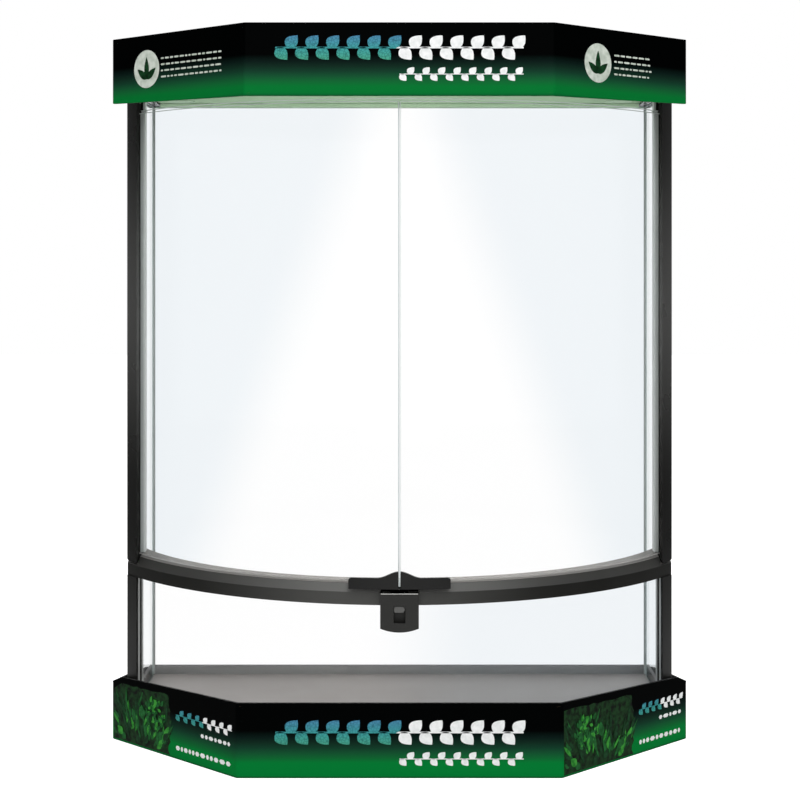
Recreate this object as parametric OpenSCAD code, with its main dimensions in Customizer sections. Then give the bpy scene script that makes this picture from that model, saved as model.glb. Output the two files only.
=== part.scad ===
// Half-moon terrarium with two curved front doors, a mesh lid and its two card cartons.
// Millimetres, +Z up, front at -Y. The origin is on the floor, under the middle of the cartons.

/* [Terrarium] */
// Width across the base frame and the top frame
frame_w = 560; // [530:5:600]
// Depth from the front of the bow to the back
frame_d = 280; // [265:5:310]
// Height from the underside of the base frame to the top frame's rim
frame_h = 640; // [560:5:720]
// Radius of the bow at the frames' outer face
bow_r = 342; // [325:1:380]
// Thickness of the glass panes
pane_t = 4; // [3:0.5:5]
// Thickness of the outer wall of the base and top frames
frame_wall = 3.5; // [2.5:0.5:4.5]
// Height of the base frame
base_frame_h = 14.5; // [12:0.5:26]
// Thickness of the base frame's ledge under the panes
base_ledge_t = 3; // [2:0.5:5]
// Width of the base frame's ledge, measured from its outer face
base_ledge_w = 18; // [14:1:30]
// Thickness of the floor panel
floor_t = 3; // [3:0.5:6]
// Height of the top frame's skirt
top_frame_h = 7.5; // [7:0.5:14]
// Thickness of the top frame's ledge under the lid
top_ledge_t = 2; // [1.5:0.5:3]
// Width of the top frame's ledge, measured from its outer face
top_ledge_w = 17; // [17:0.5:24]

/* [Posts and rails] */
// Width of a lower post's front face, and of a door's stile
post_w = 12.4; // [12.4:0.2:15]
// Width of a side post above the rail, where it shows past the stile
side_post_w = 16; // [15:0.5:18]
// Depth of a side post
post_d = 10; // [8:0.5:16]
// How far the rail stands in from the frames' outer face
rail_inset = 1.5; // [1:0.5:4]
// Clear height of the lower window, from the base frame to the rail
window_h = 126.5; // [90:0.5:170]
// Height of the front rail
rail_h = 19; // [17:0.5:26]
// Height of the rail's upright front face, below its bevel
rail_face_h = 12; // [10:0.5:14]
// Width of the rail, front to back
rail_w = 34; // [26:1:44]
// Width of the bevel along the top of the rail
rail_bevel_w = 8; // [5:0.5:9]
// Depth of the groove in the rail that holds the lower pane
rail_groove_h = 8; // [5:0.5:12]
// Depth of the pale rail that carries the rear edge of the mesh
rear_rail_w = 5; // [3:0.5:10]
// How far the pale rear rail hangs below the top frame's ledge
rear_rail_drop = 2; // [0:0.5:6]
// Size of the silicone beads in the rear corners
bead_w = 2; // [1.5:0.5:5]

/* [Doors] */
// How far the doors' glass stands behind the rail's front face
door_setback = 10; // [9:0.5:13]
// Gap between the two doors at the middle
door_seam = 1.6; // [1:0.2:3]
// Gap between a door and the rail below it or the fixed pane above it
door_gap = 2; // [1.6:0.1:2.5]
// How far the hinge pins stand in from the posts' outer face
hinge_inset = 6.6; // [6.4:0.1:6.8]
// Radius of the rounded hinge side of a stile
stile_r = 5.6; // [5:0.1:5.8]
// How far the stiles reach down past the rail's top, and the rail's ends are cut down for them
stile_drop = 6; // [4:0.5:7]
// How far the stiles' upper ends lie below the top frame's rim
stile_top_drop = 14; // [14:0.5:17]
// Radius of the hinge pins
pin_r = 2; // [1.5:0.1:2.5]
// How far a hinge pin reaches into the door's stile
pin_in_stile = 12; // [8:1:20]
// How far a hinge pin reaches into the rail
pin_in_rail = 8; // [5:0.5:10]
// How far a hinge pin reaches into the upper hinge block
pin_in_block = 5; // [3:0.5:5]
// Running clearance round a hinge pin
pin_clearance = 0.06; // [0.02:0.01:0.1]
// Width of one door's pull
pull_w = 47; // [35:1:60]
// Height of the pull at its outer end, above the rail
pull_h = 8.4; // [7:0.2:14]
// Height that the hump adds at the middle
pull_hump_h = 6; // [2:0.2:9]
// Width of the hump from the middle to its foot
pull_hump_w = 21; // [14:1:30]
// Gap between the pull and the rail's top
pull_gap = 0.4; // [0.3:0.1:0.8]
// Thickness of the pull's jaws in front of the glass and behind it
pull_jaw_t = 3; // [2:0.5:5]
// How far the jaws' upper edge lies below the front plate's
pull_jaw_drop = 5.2; // [4:0.2:6]
// How far the pull stands in front of the rail's face
pull_reach = 11.5; // [11:0.5:13]
// Thickness of the pull's front plate
pull_plate_t = 2.8; // [2:0.2:3]
// How far the front plate hangs below the rail's top
pull_lip = 1.8; // [1:0.2:2.4]
// Thickness of the web that joins the front plate to the jaws
pull_web_t = 2.2; // [1.5:0.1:3]

/* [Latch] */
// Width of the latch housing
latch_w = 36; // [32:1:48]
// Height of the latch housing
latch_h = 36; // [35:0.5:48]
// How far the latch housing stands in front of the rail's face
latch_reach = 14; // [14:0.5:18]
// Gap between the rail's top and the top of the latch housing
latch_gap = 5.4; // [4.4:0.2:8]
// Thickness of the latch housing's front wall
latch_wall = 3; // [2.5:0.25:3.5]
// Width of the thumb tab's window
tab_window_w = 10.8; // [8:0.2:14]
// Height of the thumb tab's window
tab_window_h = 15.4; // [14:0.2:17]
// Height of the thumb tab
tab_h = 5.6; // [4:0.2:7]
// How far the slider rises to lock both doors
slider_travel = 4; // [3:0.1:4]
// Width of the latch slider
slider_w = 17; // [15:0.5:22]
// Thickness of the latch slider
slider_t = 6; // [5.5:0.25:6.5]
// Thickness of the catch on top of the slider
catch_t = 3.4; // [2.5:0.1:3.4]
// Thickness of the leaf spring behind the slider
leaf_t = 0.4; // [0.3:0.1:0.6]
// Height of the leaf spring
leaf_h = 12; // [9:0.5:13]
// Depth of the space for the leaf spring
leaf_gap = 1.8; // [1.2:0.1:2.2]

/* [Lid] */
// Thickness of the lid's frame
lid_t = 3; // [2:0.5:3.4]
// Thickness of the lid's wire mesh
mesh_t = 0.8; // [0.5:0.1:1]
// Spacing of the openings in the mesh
mesh_pitch = 22; // [20:1:34]
// Width of the bars between the openings in the mesh
mesh_bar = 3; // [2:0.5:5]
// Side of the corner plates that hold the cable grommets
grommet_plate_w = 52; // [44:1:70]
// Radius of the hole for a cable grommet
grommet_hole_r = 12; // [8:0.5:14]
// Width of the grommet's flange past its hole
grommet_flange = 3; // [2:0.5:4]
// Thickness of the grommet's flanges
grommet_flange_t = 1.5; // [1:0.25:2.5]

/* [Cartons] */
// Thickness of the card
card_t = 3; // [1.5:0.5:5]
// Gap between the cartons' sides and the frames
carton_side_gap = 4.5; // [3:0.5:15]
// Gap between the cartons' front and back and the frames
carton_front_gap = 15; // [14:0.5:25]
// Width of the lower tray's front panel
tray_front_w = 302; // [240:2:340]
// Width of the cap's front panel
cap_front_w = 288; // [240:2:340]
// How far the side corners lie behind the front panel
carton_corner_d = 122; // [100:1:140]
// Height of the tray's front wall
tray_h = 69.5; // [60:0.5:90]
// How far the tray's wall falls from its front to just before the side corners
tray_fall = 5.5; // [3:0.5:12]
// Height of the tray's side walls where they start
tray_side_h = 58; // [40:1:60]
// Height of the tray's rear wall
tray_back_h = 22; // [15:1:35]
// How far the cap's front wall reaches down over the terrarium
cap_drop = 22.7; // [20:0.1:30]
// How far the cap's lower edge rises from its front to its side corners
cap_rise = 3.7; // [3:0.1:8]
// How far the cap's side walls reach down beside the stiles
cap_side_drop = 12; // [8:0.5:12.5]
// How far the cap's rear wall ends above the terrarium's top
cap_back_rise = 2; // [0:0.5:8]
// Height of the foam blocks under the terrarium
base_foam_h = 12; // [8:1:40]
// Height of the foam blocks on top of the terrarium
top_foam_h = 42.5; // [10:0.5:60]
// Length of a foam block
foam_l = 120; // [60:5:150]

/* [Hidden] */

fit = 0.2;            // gap between pieces that are bonded or laid together
$fn = 96;

half_w = frame_w / 2;
front_y = -frame_d / 2;
back_y = frame_d / 2;
bow_y0 = front_y + bow_r;

// heights
base_z = card_t + base_foam_h;
base_ledge_z = base_z + base_ledge_t;
floor_z = base_ledge_z + floor_t;
rim_z = base_z + base_frame_h;
rail_z = rim_z + window_h;
rail_top_z = rail_z + rail_h;
top_z = base_z + frame_h;
skirt_z = top_z - top_frame_h;
lid_z = top_z - lid_t - mesh_t;
top_ledge_z = lid_z - fit - top_ledge_t;
cap_z = top_z - cap_drop;
door_z = rail_top_z + door_gap;
door_top_z = cap_z - 1.8;
upper_pane_z = door_top_z + door_gap;
rail_end_z = rail_top_z - stile_drop;
stile_z = rail_end_z + door_gap;
stile_top_z = top_z - stile_top_drop;
block_z = stile_top_z + door_gap;

// panes, posts and doors in plan
pane_inset = frame_wall + 0.5;
pane_out_x = half_w - pane_inset;
pane_in_x = pane_out_x - pane_t;
pane_out_r = bow_r - pane_inset;
pane_in_r = pane_out_r - pane_t;
back_pane_y = back_y - pane_inset - pane_t;
post_in_x = half_w - post_w;
rail_out_r = bow_r - rail_inset;
rail_in_r = rail_out_r - rail_w;
door_out_r = rail_out_r - door_setback;
door_in_r = door_out_r - pane_t;
pivot_x = half_w - hinge_inset;
pivot_y = bow_y(door_out_r - pane_t / 2, pivot_x);
post_y = pivot_y + hinge_inset + 0.6;
door_pane_end_x = pivot_x - pin_r - 1.2;

// pulls
pull_z = rail_top_z + pull_gap;
pull_lip_z = rail_top_z - pull_lip;
pull_out_r = rail_out_r + pull_reach;
pull_in_r = pull_out_r - pull_plate_t;

// latch
latch_y = bow_y0 - rail_out_r - latch_reach;
latch_top_z = rail_top_z - latch_gap;
latch_bottom_z = latch_top_z - latch_h;
latch_floor = 3;
slider_y = latch_y + latch_wall + fit;
slider_back_y = slider_y + slider_t;
cavity_back_y = slider_back_y + leaf_gap;
tab_top_z = latch_top_z - 12.2;
slider_bottom_z = tab_top_z - tab_h - 1.4;
catch_top_z = pull_lip_z - 0.5;

// cartons
carton_w = frame_w + 2 * (carton_side_gap + card_t);
carton_d = frame_d + 2 * (carton_front_gap + card_t);
cap_top_z = top_z + top_foam_h + card_t;

// Y of an arc of radius r about the bow's centre, at x
function bow_y(r, x) = bow_y0 - sqrt(r * r - x * x);

// ---------------------------------------------------------------- shared shapes

// The half-moon plan, drawn in by inset on every side
module moon(inset) {
    intersection() {
        translate([0, bow_y0]) circle(r = bow_r - inset, $fn = 240);
        translate([inset - half_w, front_y]) square([frame_w - 2 * inset, frame_d - inset]);
    }
}

// A half-moon ring between two insets
module moon_ring(outer, inner) {
    difference() {
        moon(outer);
        moon(inner);
    }
}

// A plan ring about the bow's centre, cut off at |x| = end_x
module bow_strip(r_out, r_in, end_x) {
    intersection() {
        translate([0, bow_y0])
            difference() {
                circle(r = r_out, $fn = 240);
                circle(r = r_in, $fn = 240);
            }
        translate([-end_x, bow_y0 - 2 * bow_r])
            square([2 * end_x, 2 * bow_r - bow_y0 + pivot_y + 60]);
    }
}

// The given shape and its mirror image
module both_sides() {
    children();
    mirror([1, 0, 0]) children();
}

module on_side(side) {
    if (side > 0) children();
    else mirror([1, 0, 0]) children();
}

// ---------------------------------------------------------------- base and panes

module base_frame() {
    color([0.09, 0.09, 0.09])
        difference() {
            translate([0, 0, base_z]) linear_extrude(base_frame_h) moon(0);
            translate([0, 0, base_ledge_z]) linear_extrude(base_frame_h) moon(frame_wall);
            translate([0, 0, base_z - 1]) linear_extrude(base_frame_h) moon(base_ledge_w);
        }
}

module rubber_feet() {
    foot_r = base_ledge_w / 2 - 1;
    foot_t = 2.5;
    color([0.13, 0.13, 0.13])
        both_sides()
            for (p = [[half_w * 0.7, back_y - base_ledge_w / 2],
                      [half_w * 0.52, bow_y(bow_r - base_ledge_w / 2, half_w * 0.52)]])
                translate([p.x, p.y, base_z - foot_t]) cylinder(r = foot_r, h = foot_t);
}

module floor_panel() {
    color([0.5, 0.5, 0.5])
        translate([0, 0, base_ledge_z]) linear_extrude(floor_t) moon(pane_inset + pane_t + 0.5);
}

module back_pane() {
    color([0.85, 0.93, 0.92, 0.4])
        translate([-pane_out_x, back_pane_y, base_ledge_z])
            cube([2 * pane_out_x, pane_t, top_ledge_z - base_ledge_z - fit]);
}

module side_pane(side) {
    color([0.85, 0.93, 0.92, 0.4])
        on_side(side)
            translate([pane_in_x, post_y + 2, base_ledge_z])
                cube([pane_t, back_pane_y - fit - post_y - 2, top_ledge_z - base_ledge_z - fit]);
}

module lower_front_pane() {
    color([0.85, 0.93, 0.92, 0.4])
        translate([0, 0, base_ledge_z])
            linear_extrude(rail_z + rail_groove_h - fit - base_ledge_z)
                bow_strip(pane_out_r, pane_in_r, pivot_x - 1);
}

// Beads that seal the panes in the two rear corners
module silicone_beads() {
    color([0.8, 0.82, 0.82])
        both_sides()
            translate([0, 0, floor_z])
                linear_extrude(top_ledge_z - floor_z - fit)
                    polygon([[pane_in_x, back_pane_y], [pane_in_x - bead_w, back_pane_y],
                             [pane_in_x, back_pane_y - bead_w]]);
}

// Curved strip of glass above the doors, between the stiles
module upper_front_pane() {
    color([0.85, 0.93, 0.92, 0.4])
        translate([0, 0, upper_pane_z])
            linear_extrude(top_ledge_z - fit - upper_pane_z)
                bow_strip(door_out_r, door_in_r, post_in_x - 1);
}

// Pale rail across the back, on the inner edge of the top frame's ledge
module rear_top_rail() {
    rail_half = half_w - top_ledge_w - fit;
    rail_bottom_z = top_ledge_z - rear_rail_drop;
    color([0.62, 0.68, 0.62])
        translate([-rail_half, back_y - top_ledge_w - fit - rear_rail_w, rail_bottom_z])
            cube([2 * rail_half, rear_rail_w, lid_z - fit - rail_bottom_z]);
}

// ---------------------------------------------------------------- posts and rails

// Channel that holds the front edge of a side pane: wider above the rail than below
module side_post(side) {
    color([0.11, 0.11, 0.11])
        on_side(side)
            difference() {
                union() {
                    translate([post_in_x, post_y, rim_z]) cube([post_w, post_d, skirt_z - rim_z]);
                    translate([half_w - side_post_w, post_y, rail_top_z + fit])
                        cube([side_post_w, post_d, skirt_z - rail_top_z - fit]);
                }
                translate([pane_in_x - fit, post_y + 2 - fit, rim_z - 1])
                    cube([pane_t + 2 * fit, post_d, skirt_z - rim_z + 2]);
            }
}

// Corner post below the rail, grooved for the end of the lower pane
module lower_post(side) {
    color([0.11, 0.11, 0.11])
        on_side(side)
            translate([0, 0, rim_z])
                linear_extrude(window_h)
                    difference() {
                        intersection() {
                            moon(0);
                            translate([post_in_x, front_y])
                                square([post_w, post_y - fit - front_y]);
                        }
                        bow_strip(pane_out_r + fit, pane_in_r - fit, pivot_x - 1 + fit);
                    }
}

// Plan that a bow-shaped rail may fill: it stops at the side posts
module rail_plan(end_x) {
    translate([-end_x, front_y]) square([2 * end_x, post_y - fit - front_y]);
    translate([-post_in_x + fit, front_y]) square([2 * (post_in_x - fit), frame_d]);
}

// Holes for hinge pins in a rail, from z upwards
module pin_holes(z, h, r) {
    both_sides() translate([pivot_x, pivot_y, z]) cylinder(r = r, h = h);
}

// Bevelled rail under the doors, grooved below for the lower pane and cut down under the stiles
module front_rail() {
    color([0.16, 0.16, 0.16])
        difference() {
            intersection() {
                translate([0, bow_y0, rail_z])
                    rotate_extrude($fn = 240)
                        difference() {
                            polygon([[rail_in_r, 0], [rail_out_r, 0], [rail_out_r, rail_face_h],
                                     [rail_out_r - rail_bevel_w, rail_h], [rail_in_r, rail_h]]);
                            translate([pane_in_r - fit, -1])
                                square([pane_t + 2 * fit, rail_groove_h + 1]);
                        }
                translate([0, 0, rail_z]) linear_extrude(rail_h) rail_plan(half_w);
            }
            both_sides()
                translate([post_in_x - 1, front_y, rail_end_z])
                    cube([post_w + 2, frame_d, stile_drop + 1]);
            pin_holes(rail_end_z - pin_in_rail, pin_in_rail + 1, pin_r + pin_clearance);
        }
}

// Block above a door's stile that holds the upper hinge pin
module hinge_block(side) {
    color([0.11, 0.11, 0.11])
        on_side(side)
            difference() {
                translate([0, 0, block_z])
                    linear_extrude(top_ledge_z - fit - block_z)
                        intersection() {
                            moon(frame_wall + fit);
                            translate([post_in_x, front_y])
                                square([post_w, post_y - fit - front_y]);
                        }
                pin_holes(block_z - 1, pin_in_block + 1, pin_r + pin_clearance);
            }
}

module top_frame() {
    color([0.09, 0.09, 0.09]) {
        translate([0, 0, skirt_z]) linear_extrude(top_frame_h) moon_ring(0, frame_wall);
        translate([0, 0, top_ledge_z]) linear_extrude(top_ledge_t) moon_ring(frame_wall - 1, top_ledge_w);
    }
}

module hinge_pins() {
    color([0.75, 0.75, 0.77])
        both_sides() {
            translate([pivot_x, pivot_y, rail_end_z - pin_in_rail])
                cylinder(r = pin_r, h = pin_in_rail + door_gap + pin_in_stile);
            translate([pivot_x, pivot_y, stile_top_z - pin_in_stile])
                cylinder(r = pin_r, h = pin_in_stile + door_gap + pin_in_block);
        }
}

// ---------------------------------------------------------------- doors

module door_pane(side) {
    color([0.85, 0.93, 0.92, 0.4])
        on_side(side)
            translate([0, 0, door_z])
                linear_extrude(door_top_z - door_z)
                    intersection() {
                        bow_strip(door_out_r, door_in_r, door_pane_end_x);
                        translate([door_seam / 2, front_y]) square([half_w, frame_d]);
                    }
}

// Plan of a stile: it follows the bow in front and is round behind, about its pivot
module stile_plan() {
    intersection() {
        moon(0);
        translate([post_in_x, front_y]) square([post_w, pivot_y - front_y]);
    }
    translate([pivot_x, pivot_y]) circle(r = stile_r);
}

module door_stile(side) {
    corner_r = 3;
    overcut = 0.2;
    end_gap = 1;
    color([0.11, 0.11, 0.11])
        on_side(side)
            difference() {
                translate([0, 0, stile_z]) linear_extrude(stile_top_z - stile_z) stile_plan();
                translate([0, 0, door_z - fit])
                    linear_extrude(door_top_z - door_z + 2 * fit)
                        bow_strip(door_out_r + fit, door_in_r - fit, door_pane_end_x + fit);
                for (z = [stile_z - end_gap, stile_top_z - pin_in_stile - end_gap])
                    translate([pivot_x, pivot_y, z])
                        cylinder(r = pin_r + pin_clearance, h = pin_in_stile + 2 * end_gap);
                // rounded lower outer corner
                translate([half_w - corner_r + overcut, back_y, stile_z + corner_r - overcut])
                    rotate([90, 0, 0])
                        linear_extrude(frame_d)
                            difference() {
                                translate([0, -2 * corner_r]) square(2 * corner_r);
                                circle(r = corner_r);
                            }
            }
}

// Front outline of a pull, from z = low: flat at its end, with a hump that rises to the seam
module pull_outline(low) {
    end_r = 2.8;
    end_x = door_seam / 2 + pull_w;
    steps = 12;
    hump = [for (i = [0:steps])
        let (t = i / steps)
        [pull_hump_w * (1 - t), pull_h + pull_hump_h * (1 - cos(180 * t)) / 2]];
    difference() {
        polygon(concat([[0, low], [end_x, low], [end_x, pull_h]], hump));
        translate([end_x - end_r, pull_h - end_r])
            difference() {
                square(end_r + 1);
                circle(r = end_r);
            }
        translate([-1, low - 1]) square([door_seam / 2 + 1.3, pull_h + pull_hump_h - low + 2]);
    }
}

// The pull's outline, from z = low, carried back over the ring between two radii
module pull_ring(low, r_out, r_in) {
    intersection() {
        translate([0, front_y + 60, pull_z])
            rotate([90, 0, 0]) linear_extrude(120) pull_outline(low);
        translate([0, 0, pull_z + low - 1])
            linear_extrude(pull_h + pull_hump_h - low + 2) bow_strip(r_out, r_in, half_w);
    }
}

// Clip on the lower inner corner of a door, with a front plate to pull it open by
module door_pull(side) {
    end_rib_w = 3;
    web_low = pull_web_t;
    web_z = pull_z + web_low;
    end_x = door_seam / 2 + pull_w;
    color([0.13, 0.13, 0.13])
        on_side(side)
            difference() {
                union() {
                    pull_ring(pull_lip_z - pull_z, pull_out_r, pull_in_r);
                    translate([0, 0, -pull_jaw_drop])
                        pull_ring(pull_jaw_drop, door_out_r + pull_jaw_t, door_in_r - pull_jaw_t);
                    intersection() {
                        pull_ring(0, pull_out_r - 1, door_out_r + pull_jaw_t - 1);
                        union() {
                            translate([0, front_y - frame_d / 2, web_z])
                                cube([end_x, frame_d, pull_web_t]);
                            translate([end_x - end_rib_w, front_y - frame_d / 2, pull_z])
                                cube([end_rib_w, frame_d, web_low + pull_web_t]);
                        }
                    }
                }
                translate([0, 0, door_z - fit])
                    linear_extrude(pull_h + pull_hump_h)
                        bow_strip(door_out_r + fit / 2, door_in_r - fit / 2, half_w);
            }
}

// ---------------------------------------------------------------- latch

// Front outline of the housing, with its bowed lower edge
module latch_outline() {
    bow_drop = 3.6;
    lower_r = (latch_w * latch_w / 4 + bow_drop * bow_drop) / (2 * bow_drop);
    intersection() {
        translate([-latch_w / 2, 0]) square([latch_w, latch_h]);
        translate([0, lower_r]) circle(r = lower_r, $fn = 160);
    }
    translate([-latch_w / 2, bow_drop]) square([latch_w, latch_h - bow_drop]);
}

module latch_housing() {
    cavity_w = slider_w + 2 * fit;
    top_wall = 1.2;
    top_recess = 2.4;
    depth = latch_reach + pane_inset;
    color([0.15, 0.15, 0.15])
        difference() {
            translate([0, latch_y + depth, latch_bottom_z])
                rotate([90, 0, 0]) linear_extrude(depth) latch_outline();
            // the rail and the lower pane that it is bonded to
            translate([0, bow_y0, rail_z - fit])
                cylinder(r = rail_out_r + fit / 2, h = rail_h, $fn = 240);
            translate([0, bow_y0, latch_bottom_z - 1])
                cylinder(r = pane_out_r + fit / 2, h = latch_h + 2, $fn = 240);
            // cavity for the slider and its leaf spring, open at the top
            translate([-cavity_w / 2, latch_y + latch_wall, latch_bottom_z + latch_floor])
                cube([cavity_w, cavity_back_y - latch_y - latch_wall, latch_h]);
            // shallow well round the catch, behind a thin front edge
            translate([top_wall - latch_w / 2, latch_y + top_wall, latch_top_z - top_recess])
                cube([latch_w - 2 * top_wall, cavity_back_y - latch_y - top_wall, top_recess + 1]);
            // window for the thumb tab
            translate([-tab_window_w / 2, latch_y - 1, tab_top_z + fit - tab_window_h])
                cube([tab_window_w, latch_wall + 2, tab_window_h]);
            // groove behind the front wall that the rising tab runs in
            translate([-tab_window_w / 2, latch_y + latch_wall / 2 - fit, tab_top_z - 1])
                cube([tab_window_w, latch_wall, slider_travel + 1 + 3 * fit]);
        }
}

// Front outline of the thumb tab: rounded at its left end and pointed at its right end
module tab_outline(w) {
    corner_r = 1.6;
    point_w = 1.8;
    polygon([[corner_r - w / 2, 0], [w / 2 - point_w, 0], [w / 2, tab_h / 2],
             [w / 2 - point_w, tab_h], [corner_r - w / 2, tab_h]]);
    translate([-w / 2, corner_r]) square([corner_r + 1, tab_h - 2 * corner_r]);
    for (y = [corner_r, tab_h - corner_r]) translate([corner_r - w / 2, y]) circle(r = corner_r);
}

// Slider with its catch on top and its thumb tab in front
module latch_slider() {
    shoulder_z = latch_top_z - 3;
    color([0.42, 0.42, 0.42]) {
        translate([-slider_w / 2, slider_y, slider_bottom_z])
            cube([slider_w, slider_t, shoulder_z - slider_bottom_z]);
        translate([-slider_w / 2, slider_back_y - catch_t, slider_bottom_z])
            cube([slider_w, catch_t, catch_top_z - slider_bottom_z]);
        translate([0, latch_y + 1.5 * latch_wall, tab_top_z - tab_h])
            rotate([90, 0, 0]) linear_extrude(latch_wall) tab_outline(tab_window_w - 2 * fit);
    }
}

// Bowed leaf spring that presses on the back of the slider and holds it where it is put
module latch_leaf() {
    bow = leaf_gap - leaf_t - 0.1;
    r = (leaf_h * leaf_h / 4 + bow * bow) / (2 * bow);
    leaf_w = slider_w - 5;
    color([0.7, 0.7, 0.72])
        translate([-leaf_w / 2, cavity_back_y - fit / 2, slider_bottom_z + 1 + leaf_h / 2])
            rotate([0, 90, 0])
                linear_extrude(leaf_w)
                    intersection() {
                        translate([0, r - bow - leaf_t])
                            difference() {
                                circle(r = r, $fn = 200);
                                circle(r = r - leaf_t, $fn = 200);
                            }
                        translate([-leaf_h / 2, -leaf_gap]) square([leaf_h, leaf_gap]);
                    }
}

// ---------------------------------------------------------------- lid

grommet_x = half_w - top_ledge_w - grommet_plate_w / 2;
grommet_y = back_y - top_ledge_w - grommet_plate_w / 2;

module lid_frame() {
    corner_x = half_w - top_ledge_w - grommet_plate_w;
    corner_y = back_y - top_ledge_w - grommet_plate_w;
    color([0.12, 0.12, 0.12])
        translate([0, 0, top_z - lid_t])
            linear_extrude(lid_t)
                difference() {
                    moon(frame_wall + 0.5);
                    difference() {
                        moon(top_ledge_w + 1);
                        both_sides() translate([corner_x, corner_y]) square(grommet_plate_w + 2);
                    }
                    both_sides() translate([grommet_x, grommet_y]) circle(r = grommet_hole_r);
                }
}

// True where an opening of the mesh lies wholly inside the lid's frame and off its corner plates
function mesh_open(x, y) =
    let (far_x = abs(x) + mesh_pitch / 2, r = bow_r - top_ledge_w - 1)
    far_x < half_w - top_ledge_w - 1
    && y + mesh_pitch / 2 < back_y - top_ledge_w - 1
    && far_x * far_x + pow(bow_y0 - y + mesh_pitch / 2, 2) < r * r
    && !(far_x > half_w - top_ledge_w - grommet_plate_w
         && y + mesh_pitch / 2 > back_y - top_ledge_w - grommet_plate_w);

module lid_mesh() {
    cols = floor(half_w / mesh_pitch);
    rows = floor(frame_d / mesh_pitch);
    open = mesh_pitch - mesh_bar;
    color([0.72, 0.74, 0.73])
        translate([0, 0, lid_z])
            linear_extrude(mesh_t)
                difference() {
                    moon(frame_wall + 1.5);
                    both_sides()
                        translate([grommet_x, grommet_y])
                            circle(r = grommet_hole_r + grommet_flange + 1);
                    for (i = [-cols:cols], j = [0:rows])
                        let (x = i * mesh_pitch, y = front_y + (j + 0.5) * mesh_pitch)
                            if (mesh_open(x, y))
                                translate([x - open / 2, y - open / 2]) square(open);
                }
}

// Rubber grommets with a closed membrane that a cable is pushed through
module cable_grommets() {
    neck_r = grommet_hole_r - 0.1;
    flange_r = grommet_hole_r + grommet_flange;
    lower_z = top_z - lid_t - 0.1 - grommet_flange_t;
    upper_z = top_z + 0.1;
    color([0.1, 0.1, 0.1])
        both_sides()
            translate([grommet_x, grommet_y, 0])
                difference() {
                    union() {
                        translate([0, 0, lower_z]) cylinder(r = flange_r, h = grommet_flange_t);
                        translate([0, 0, lower_z])
                            cylinder(r = neck_r, h = upper_z - lower_z + grommet_flange_t);
                        translate([0, 0, upper_z]) cylinder(r = flange_r, h = grommet_flange_t);
                    }
                    translate([0, 0, top_z - 0.6])
                        cylinder(r = neck_r - 2.5, h = grommet_flange_t + 2);
                }
}

// ---------------------------------------------------------------- cartons and foam

// Plan of a carton with cut-off front corners, drawn in by inset
function carton_points(front_w, inset) =
    let (a = [front_w / 2, -carton_d / 2],
         b = [carton_w / 2, carton_corner_d - carton_d / 2],
         n = [b.y - a.y, a.x - b.x] / norm(b - a),
         c = n * a - inset,
         y = -carton_d / 2 + inset,
         x = carton_w / 2 - inset,
         front_x = (c - n.y * y) / n.x,
         corner_y = (c - n.x * x) / n.y)
    [[-front_x, y], [front_x, y], [x, corner_y], [x, carton_d / 2 - inset],
     [-x, carton_d / 2 - inset], [-x, corner_y]];

// Everything on one side of a carton's rim, which is a line of [y, z] points seen from the side
module past_rim(rim, z) {
    translate([-carton_w / 2 - 1, 0, 0])
        rotate([90, 0, 90])
            linear_extrude(carton_w + 2)
                polygon(concat([[-carton_d / 2 - 1, z]], [[-carton_d / 2 - 1, rim[0].y]], rim,
                               [[carton_d / 2 + 1, z]]));
}

// Tray that is high in front and low behind, so that the terrarium slides out to the rear
module tray_carton() {
    corner_y = carton_corner_d - carton_d / 2;
    notch = 10;
    color([0.02, 0.3, 0.13])
        difference() {
            linear_extrude(tray_h) polygon(carton_points(tray_front_w, 0));
            translate([0, 0, card_t])
                linear_extrude(tray_h) polygon(carton_points(tray_front_w, card_t));
            past_rim([[card_t - carton_d / 2, tray_h], [corner_y - notch, tray_h - tray_fall],
                      [corner_y, tray_side_h], [carton_d / 2 + 1, tray_back_h]], tray_h + 1);
        }
}

// Cap with a rim that rises from the front to the rear, past the stiles
module cap_carton() {
    corner_y = carton_corner_d - carton_d / 2;
    stile_y = 24;
    color([0.02, 0.3, 0.13])
        difference() {
            translate([0, 0, cap_z])
                linear_extrude(cap_top_z - cap_z) polygon(carton_points(cap_front_w, 0));
            translate([0, 0, cap_z - card_t])
                linear_extrude(cap_top_z - cap_z) polygon(carton_points(cap_front_w, card_t));
            past_rim([[card_t - carton_d / 2, cap_z], [corner_y, cap_z + cap_rise],
                      [corner_y + stile_y, top_z - cap_side_drop],
                      [carton_d / 2 + 1, top_z + cap_back_rise]], cap_z - 1);
        }
}

// Four foam blocks, one at the middle of each side, between z and z + h
module foam_blocks(z, h) {
    in_x = carton_w / 2 - card_t - fit;
    in_y = carton_d / 2 - card_t - fit;
    grip = 30;
    color([0.95, 0.95, 0.94])
        translate([0, 0, z]) {
            translate([-foam_l / 2, -in_y, 0]) cube([foam_l, carton_front_gap + grip, h]);
            translate([-foam_l / 2, in_y - carton_front_gap - grip, 0])
                cube([foam_l, carton_front_gap + grip, h]);
            both_sides()
                translate([in_x - carton_side_gap - grip, post_y - grip / 2, 0])
                    cube([carton_side_gap + grip, foam_l / 2, h]);
        }
}

module base_foam_blocks() {
    foam_blocks(card_t, base_foam_h);
}

module top_foam_blocks() {
    foam_blocks(top_z + fit, top_foam_h - fit);
}

// ---------------------------------------------------------------- nodes

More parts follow.
